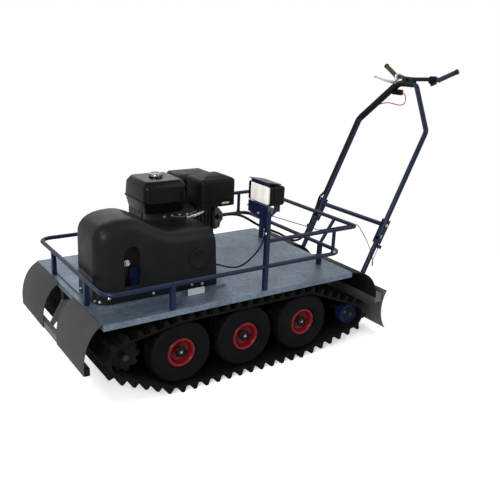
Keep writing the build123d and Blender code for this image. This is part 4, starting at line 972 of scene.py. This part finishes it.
# Handlebar

def make_grip(name, side, finish):
    """A ribbed grip turned about the bar's end, with a flange inboard and a plain black end."""
    inner, outer = at(*sided(GRIP_INNER, side)), at(*sided(GRIP_OUTER, side))
    length, r = (outer - inner).length / MM + 4, 10.9
    ribs = [(along + step, r + rise) for along in range(10, int(length) - 14, 6)
            for step, rise in ((0, 0), (1, 1), (4, 1), (5, 0))]
    flange = [(2, 10.3), (2, 13.2), (4, 14), (6, 13.2), (8, r)]
    profile = flange + ribs + [(length - 9, 11), (length - 9, 0)]
    grip = turn_profile(name, profile, inner, outer - inner, steps=32)
    close_piece(grip, finish, "handlebar", ["grips"])
    profile = [(length - 10, 0), (length - 10, 12.6), (length - 8, 13.4), (length - 2, 13.4),
               (length, 11.5), (length, 0)]
    end = turn_profile(name + "_end", profile, inner, outer - inner, steps=32)
    close_piece(end, CABLE_PVC, "handlebar", ["grips"])


def make_perches():
    """Clamp bands on the bar: a bright lever perch on the right and a black throttle drum on the left."""
    half = [(3, 14.2), (4, 16), (10.5, 16), (12, 14.5), (12, 10.3)]
    profile = [(-a, rad) for a, rad in half[::-1]] + half + [(-12, 10.3)]
    for name, side, finish in (("lever_perch", -1, ZINC), ("throttle_drum", 1, BLACK_PLASTIC)):
        inner, knee = at(*sided(GRIP_INNER, side)), at(*sided(BAR_KNEE, side))
        band = turn_profile(name, profile, knee.lerp(inner, PERCH_SHARE), inner - knee, steps=28)
        close_piece(band, finish, "handlebar", ["bar_controls"])


def make_lever():
    """Brake lever on the right: a plated blade that leaves its perch, bends outwards and ends in a ball."""
    perch = sided(BAR_KNEE.lerp(GRIP_INNER, PERCH_SHARE), -1)
    blade = make_tube("brake_lever", places(LEVER_REACH, perch), LEVER_RADIUS, LEVER_SHARES)
    close_piece(blade, ZINC, "handlebar", ["bar_controls"])


def make_stop_switch():
    """Stop switch under the bar: a rounded box with a push button."""
    case = add_block("stop_switch", at(*SWITCH_LOW), at(*SWITCH_HIGH))
    bevel(4, 3)
    middle = (SWITCH_LOW + SWITCH_HIGH) / 2
    button = at(SWITCH_HIGH.x + BUTTON_OUT, middle.y, middle.z)
    add_stub(button, FRONT, BUTTON_RADIUS, BUTTON_LENGTH, edge=1.5, sides=20)
    close_piece(case, BLACK_PLASTIC, "handlebar", ["bar_controls"])


def make_throttle():
    """Throttle housing on the left: a rounded case round the bar with a thumb lever curling out below it."""
    perch = BAR_KNEE.lerp(GRIP_INNER, PERCH_SHARE)
    case = add_block("throttle_case", at(*(perch + THROTTLE_LOW)), at(*(perch + THROTTLE_HIGH)))
    bevel(7, 3)
    close_piece(case, BLACK_PLASTIC, "handlebar", ["bar_controls"])
    thumb = make_tube("thumb_lever", places(THUMB_REACH, perch), THUMB_RADIUS, THUMB_SHARES)
    close_piece(thumb, BLACK_PLASTIC, "handlebar", ["bar_controls"])


def make_limb_wrap():
    """Tape round the right limb and its conduit: a ring drawn along the limb, swelling at each turn."""
    limb = LIMB_TOP - SHOULDER
    up = limb.normalized()
    front = (LEG_FRONT - up * LEG_FRONT.dot(up)).normalized()
    rise = limb.length * TAPE_SHARE / TAPE_TURNS * MM
    bpy.ops.mesh.primitive_circle_add(vertices=18, radius=TAPE_RADIUS * MM, fill_type="NGON")
    wrap = open_piece(bpy.context.object, "limb_wrap")
    select_all()
    scale((1, TAPE_FLAT, 1))
    for turn in range(TAPE_TURNS):
        swell = TAPE_SWELL if turn % 2 else 1 / TAPE_SWELL
        draw_out((0, 0, rise))
        scale((swell, swell, 1), center_override=(0, 0, (turn + 1) * rise))
    face_outwards()
    bpy.ops.object.mode_set(mode="OBJECT")
    foot = at(*(SHOULDER + limb * TAPE_FOOT + front * TAPE_AHEAD))
    turn = Matrix((front, up.cross(front), up)).transposed().to_4x4()
    wrap.data.transform(Matrix.Translation(foot) @ turn)
    close_piece(wrap, CABLE_PVC, "handlebar", angle=50)


def make_top_wrap():
    """Tape over the folding frame's top, from the right limb to the left limb's bend."""
    limb, left_top = LIMB_TOP - SHOULDER, sided(LIMB_TOP, -1)
    route = [SHOULDER + limb * share for share in WRAP_ON_LIMB]
    route += [LIMB_TOP.lerp(left_top, share) for share in WRAP_ON_TOP]
    wrap = make_tube("top_wrap", places(route), WRAP_RADIUS, WRAP_SHARES)
    close_piece(wrap, CABLE_PVC, "handlebar", angle=50)


def make_fold_conduit():
    """Conduit across the fold, from the clip on the right leg to the conduit on the folding frame."""
    tube = make_tube("fold_conduit", [on_leg(*place) for place in CONDUIT], CONDUIT_RADIUS)
    bpy.ops.object.shade_smooth_by_angle(angle=math.radians(50))
    tube.data.materials.append(CABLE_PVC)
    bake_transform(tube)


# Cords

def make_cord(name, route, finish, diameter, body="chassis"):
    """A cord along its route, as one smooth curve on its body, with the part it stands for hidden."""
    points = places(route)
    cord = smooth_curve(name + "_cord", points, diameter / 2, rounds=4, steps=10)
    cord.data.materials.append(finish)
    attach(cord, body)
    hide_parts(name)


# Bolts

def make_all_bolts():
    """Bolts on the cover, drive shaft, wheels, engine, lamp bracket, handle legs and rail."""
    cover = [((COVER_X[1] - BOLT_SINK, *COVER_FRONT_BOLT), FRONT)]
    cover += [on_cover_corner(degrees, z) for degrees, z in COVER_CORNER_BOLTS]
    cover += [((x, COVER_Y[1], z), LEFT) for x, z in COVER_SIDE_BOLTS]
    make_bolts("cover_bolts", cover, BOLT)
    shaft_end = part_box("belt_pulleys")[1].y / MM
    make_bolts("shaft_bolt", [((JACKSHAFT_X, shaft_end, JACKSHAFT_Z), LEFT)], SHAFT_BOLT)
    hub_y = TWIN_Y[1] + HUB_FACE
    wheels = [((x, side * hub_y, WHEEL_Z), LEFT * side) for x in WHEEL_X for side in (-1, 1)]
    make_bolts("wheel_nuts", wheels, BOLT)
    far_side, near_side = [corner.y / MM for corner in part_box("engine_crankcase")]
    case = [((x, near_side, z), LEFT) for x, z in NEAR_CASE_BOLTS]
    case += [((x, far_side, z), -LEFT) for x, z in FAR_CASE_BOLTS]
    make_bolts("crankcase_bolts", case, BOLT)
    make_bolts("bracket_bolts", [(place, FRONT) for place in BRACKET_BOLTS], BOLT)
    channels = []
    for along in (PIVOT_ALONG, TIE_ALONG):
        place = LEG_FOOT + LEG_UP * along
        for y in (-LEG_Y, LEG_Y):
            channels += [((place.x, y + side * CHANNEL_HALF, place.z), LEFT * side) for side in (-1, 1)]
    make_bolts("channel_bolts", channels, CHANNEL_BOLT)
    make_bolts("rail_bolts", [(sided(RAIL_BOLT, side), LEFT * side) for side in (1, -1)], BOLT)


# Studio

def add_camera():
    """The photograph's camera."""
    data = bpy.data.cameras.new("photo_camera")
    data.sensor_width = SENSOR_MM
    data.lens = FOCAL_PIXELS / IMAGE_PIXELS * SENSOR_MM
    camera = bpy.data.objects.new("photo_camera", data)
    bpy.context.scene.collection.objects.link(camera)
    turn = Matrix((CAMERA_RIGHT, -CAMERA_DOWN, -CAMERA_FORWARD)).transposed().to_4x4()
    camera.matrix_world = Matrix.Translation(CAMERA_PLACE) @ turn
    bpy.context.scene.camera = camera


def add_lights():
    """An overcast sky all round, white where the camera and the metal see it, and four soft boxes."""
    world = bpy.data.worlds.new("overcast")
    world.use_nodes = True
    bpy.context.scene.world = world
    background = world.node_tree.nodes["Background"]
    background.inputs["Color"].default_value = (1, 1, 1, 1)
    ray = add(world, "ShaderNodeLightPath")
    seen = add(world, "ShaderNodeMath", {"operation": "MAXIMUM"},
               {0: ray.outputs["Is Camera Ray"], 1: ray.outputs["Is Glossy Ray"]})
    clear = add(world, "ShaderNodeMath", {"operation": "MAXIMUM"},
                {0: seen.outputs[0], 1: ray.outputs["Is Transmission Ray"]})
    strength = add(world, "ShaderNodeMapRange",
                   inputs={"Value": clear.outputs[0], "To Min": SKY_SHARE, "To Max": 1})
    feed(world, background, Strength=strength.outputs["Result"])
    for place, size, energy in SOFTBOXES:
        light = bpy.data.lights.new("softbox", "AREA")
        light.size = size
        light.energy = energy
        lamp = bpy.data.objects.new("softbox", light)
        lamp.location = place
        lamp.rotation_euler = (LIGHT_TARGET - Vector(place)).to_track_quat("-Z", "Y").to_euler()
        bpy.context.scene.collection.objects.link(lamp)


def add_floor():
    """White paper under the object: it takes the shadow, and fades into the white sky farther out."""
    bpy.ops.mesh.primitive_plane_add(size=FLOOR_SIZE)
    floor = bpy.context.object
    floor.name = "floor"
    paper, shader, place = surface("white_paper", Base_Color=colour("#f4f4f4"), Roughness=0.9,
                                   Emission_Color=(1, 1, 1, 1))
    ray = add(paper, "ShaderNodeLightPath")
    glow = add(paper, "ShaderNodeMath", {"operation": "MULTIPLY"}, {0: ray.outputs["Is Camera Ray"], 1: 0.5})
    reach = add(paper, "ShaderNodeVectorMath", {"operation": "LENGTH"}, {0: place}).outputs["Value"]
    fade = add(paper, "ShaderNodeMapRange", {"interpolation_type": "SMOOTHSTEP"},
               {"Value": reach, "From Min": FLOOR_FADE[0], "From Max": FLOOR_FADE[1],
                "To Min": 1, "To Max": 0})
    feed(paper, shader, Emission_Strength=glow.outputs[0], Alpha=fade.outputs["Result"])
    floor.data.materials.append(paper)


for finish, nodes in NODE_FINISH:
    for node in nodes:
        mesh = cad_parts[node].data
        mesh.materials.clear()
        mesh.materials.append(finish)

make_tyres()
make_rims()
make_hubs()
make_idlers()
make_guards("front_guard_sheets", FRONT_GUARD, GUARD_RUBBER, "front_guards")
make_guards("rear_guard_sheets", REAR_GUARD, FLAP_RUBBER, "rear_guards")
make_cover()
make_crank_disc()
make_blank_plate()
make_drive_bracket()
make_tank()
make_fuel_cap()
make_air_cleaner()
make_muffler()
make_starter()
make_engine_lever()
make_crankcase()
make_head()
make_lamp()
make_lamp_glass()
make_grip("left_grip", 1, LEFT_GRIP)
make_grip("right_grip", -1, RIGHT_GRIP)
make_perches()
make_lever()
make_stop_switch()
make_throttle()
make_limb_wrap()
make_top_wrap()
make_fold_conduit()
make_visor()
make_cord("engine_harness", HARNESS, CABLE_PVC, diameter=13)
make_cord("lamp_lead", LAMP_LEAD, CABLE_PVC, diameter=7)
make_cord("rear_droop_wire", REAR_DROOP, CABLE_PVC, diameter=3.5)
make_cord("stop_lanyard", LANYARD, RED_CORD, diameter=5, body="handlebar")
make_all_bolts()

add_camera()
add_lights()
add_floor()
bpy.context.scene.view_settings.view_transform = "Standard"
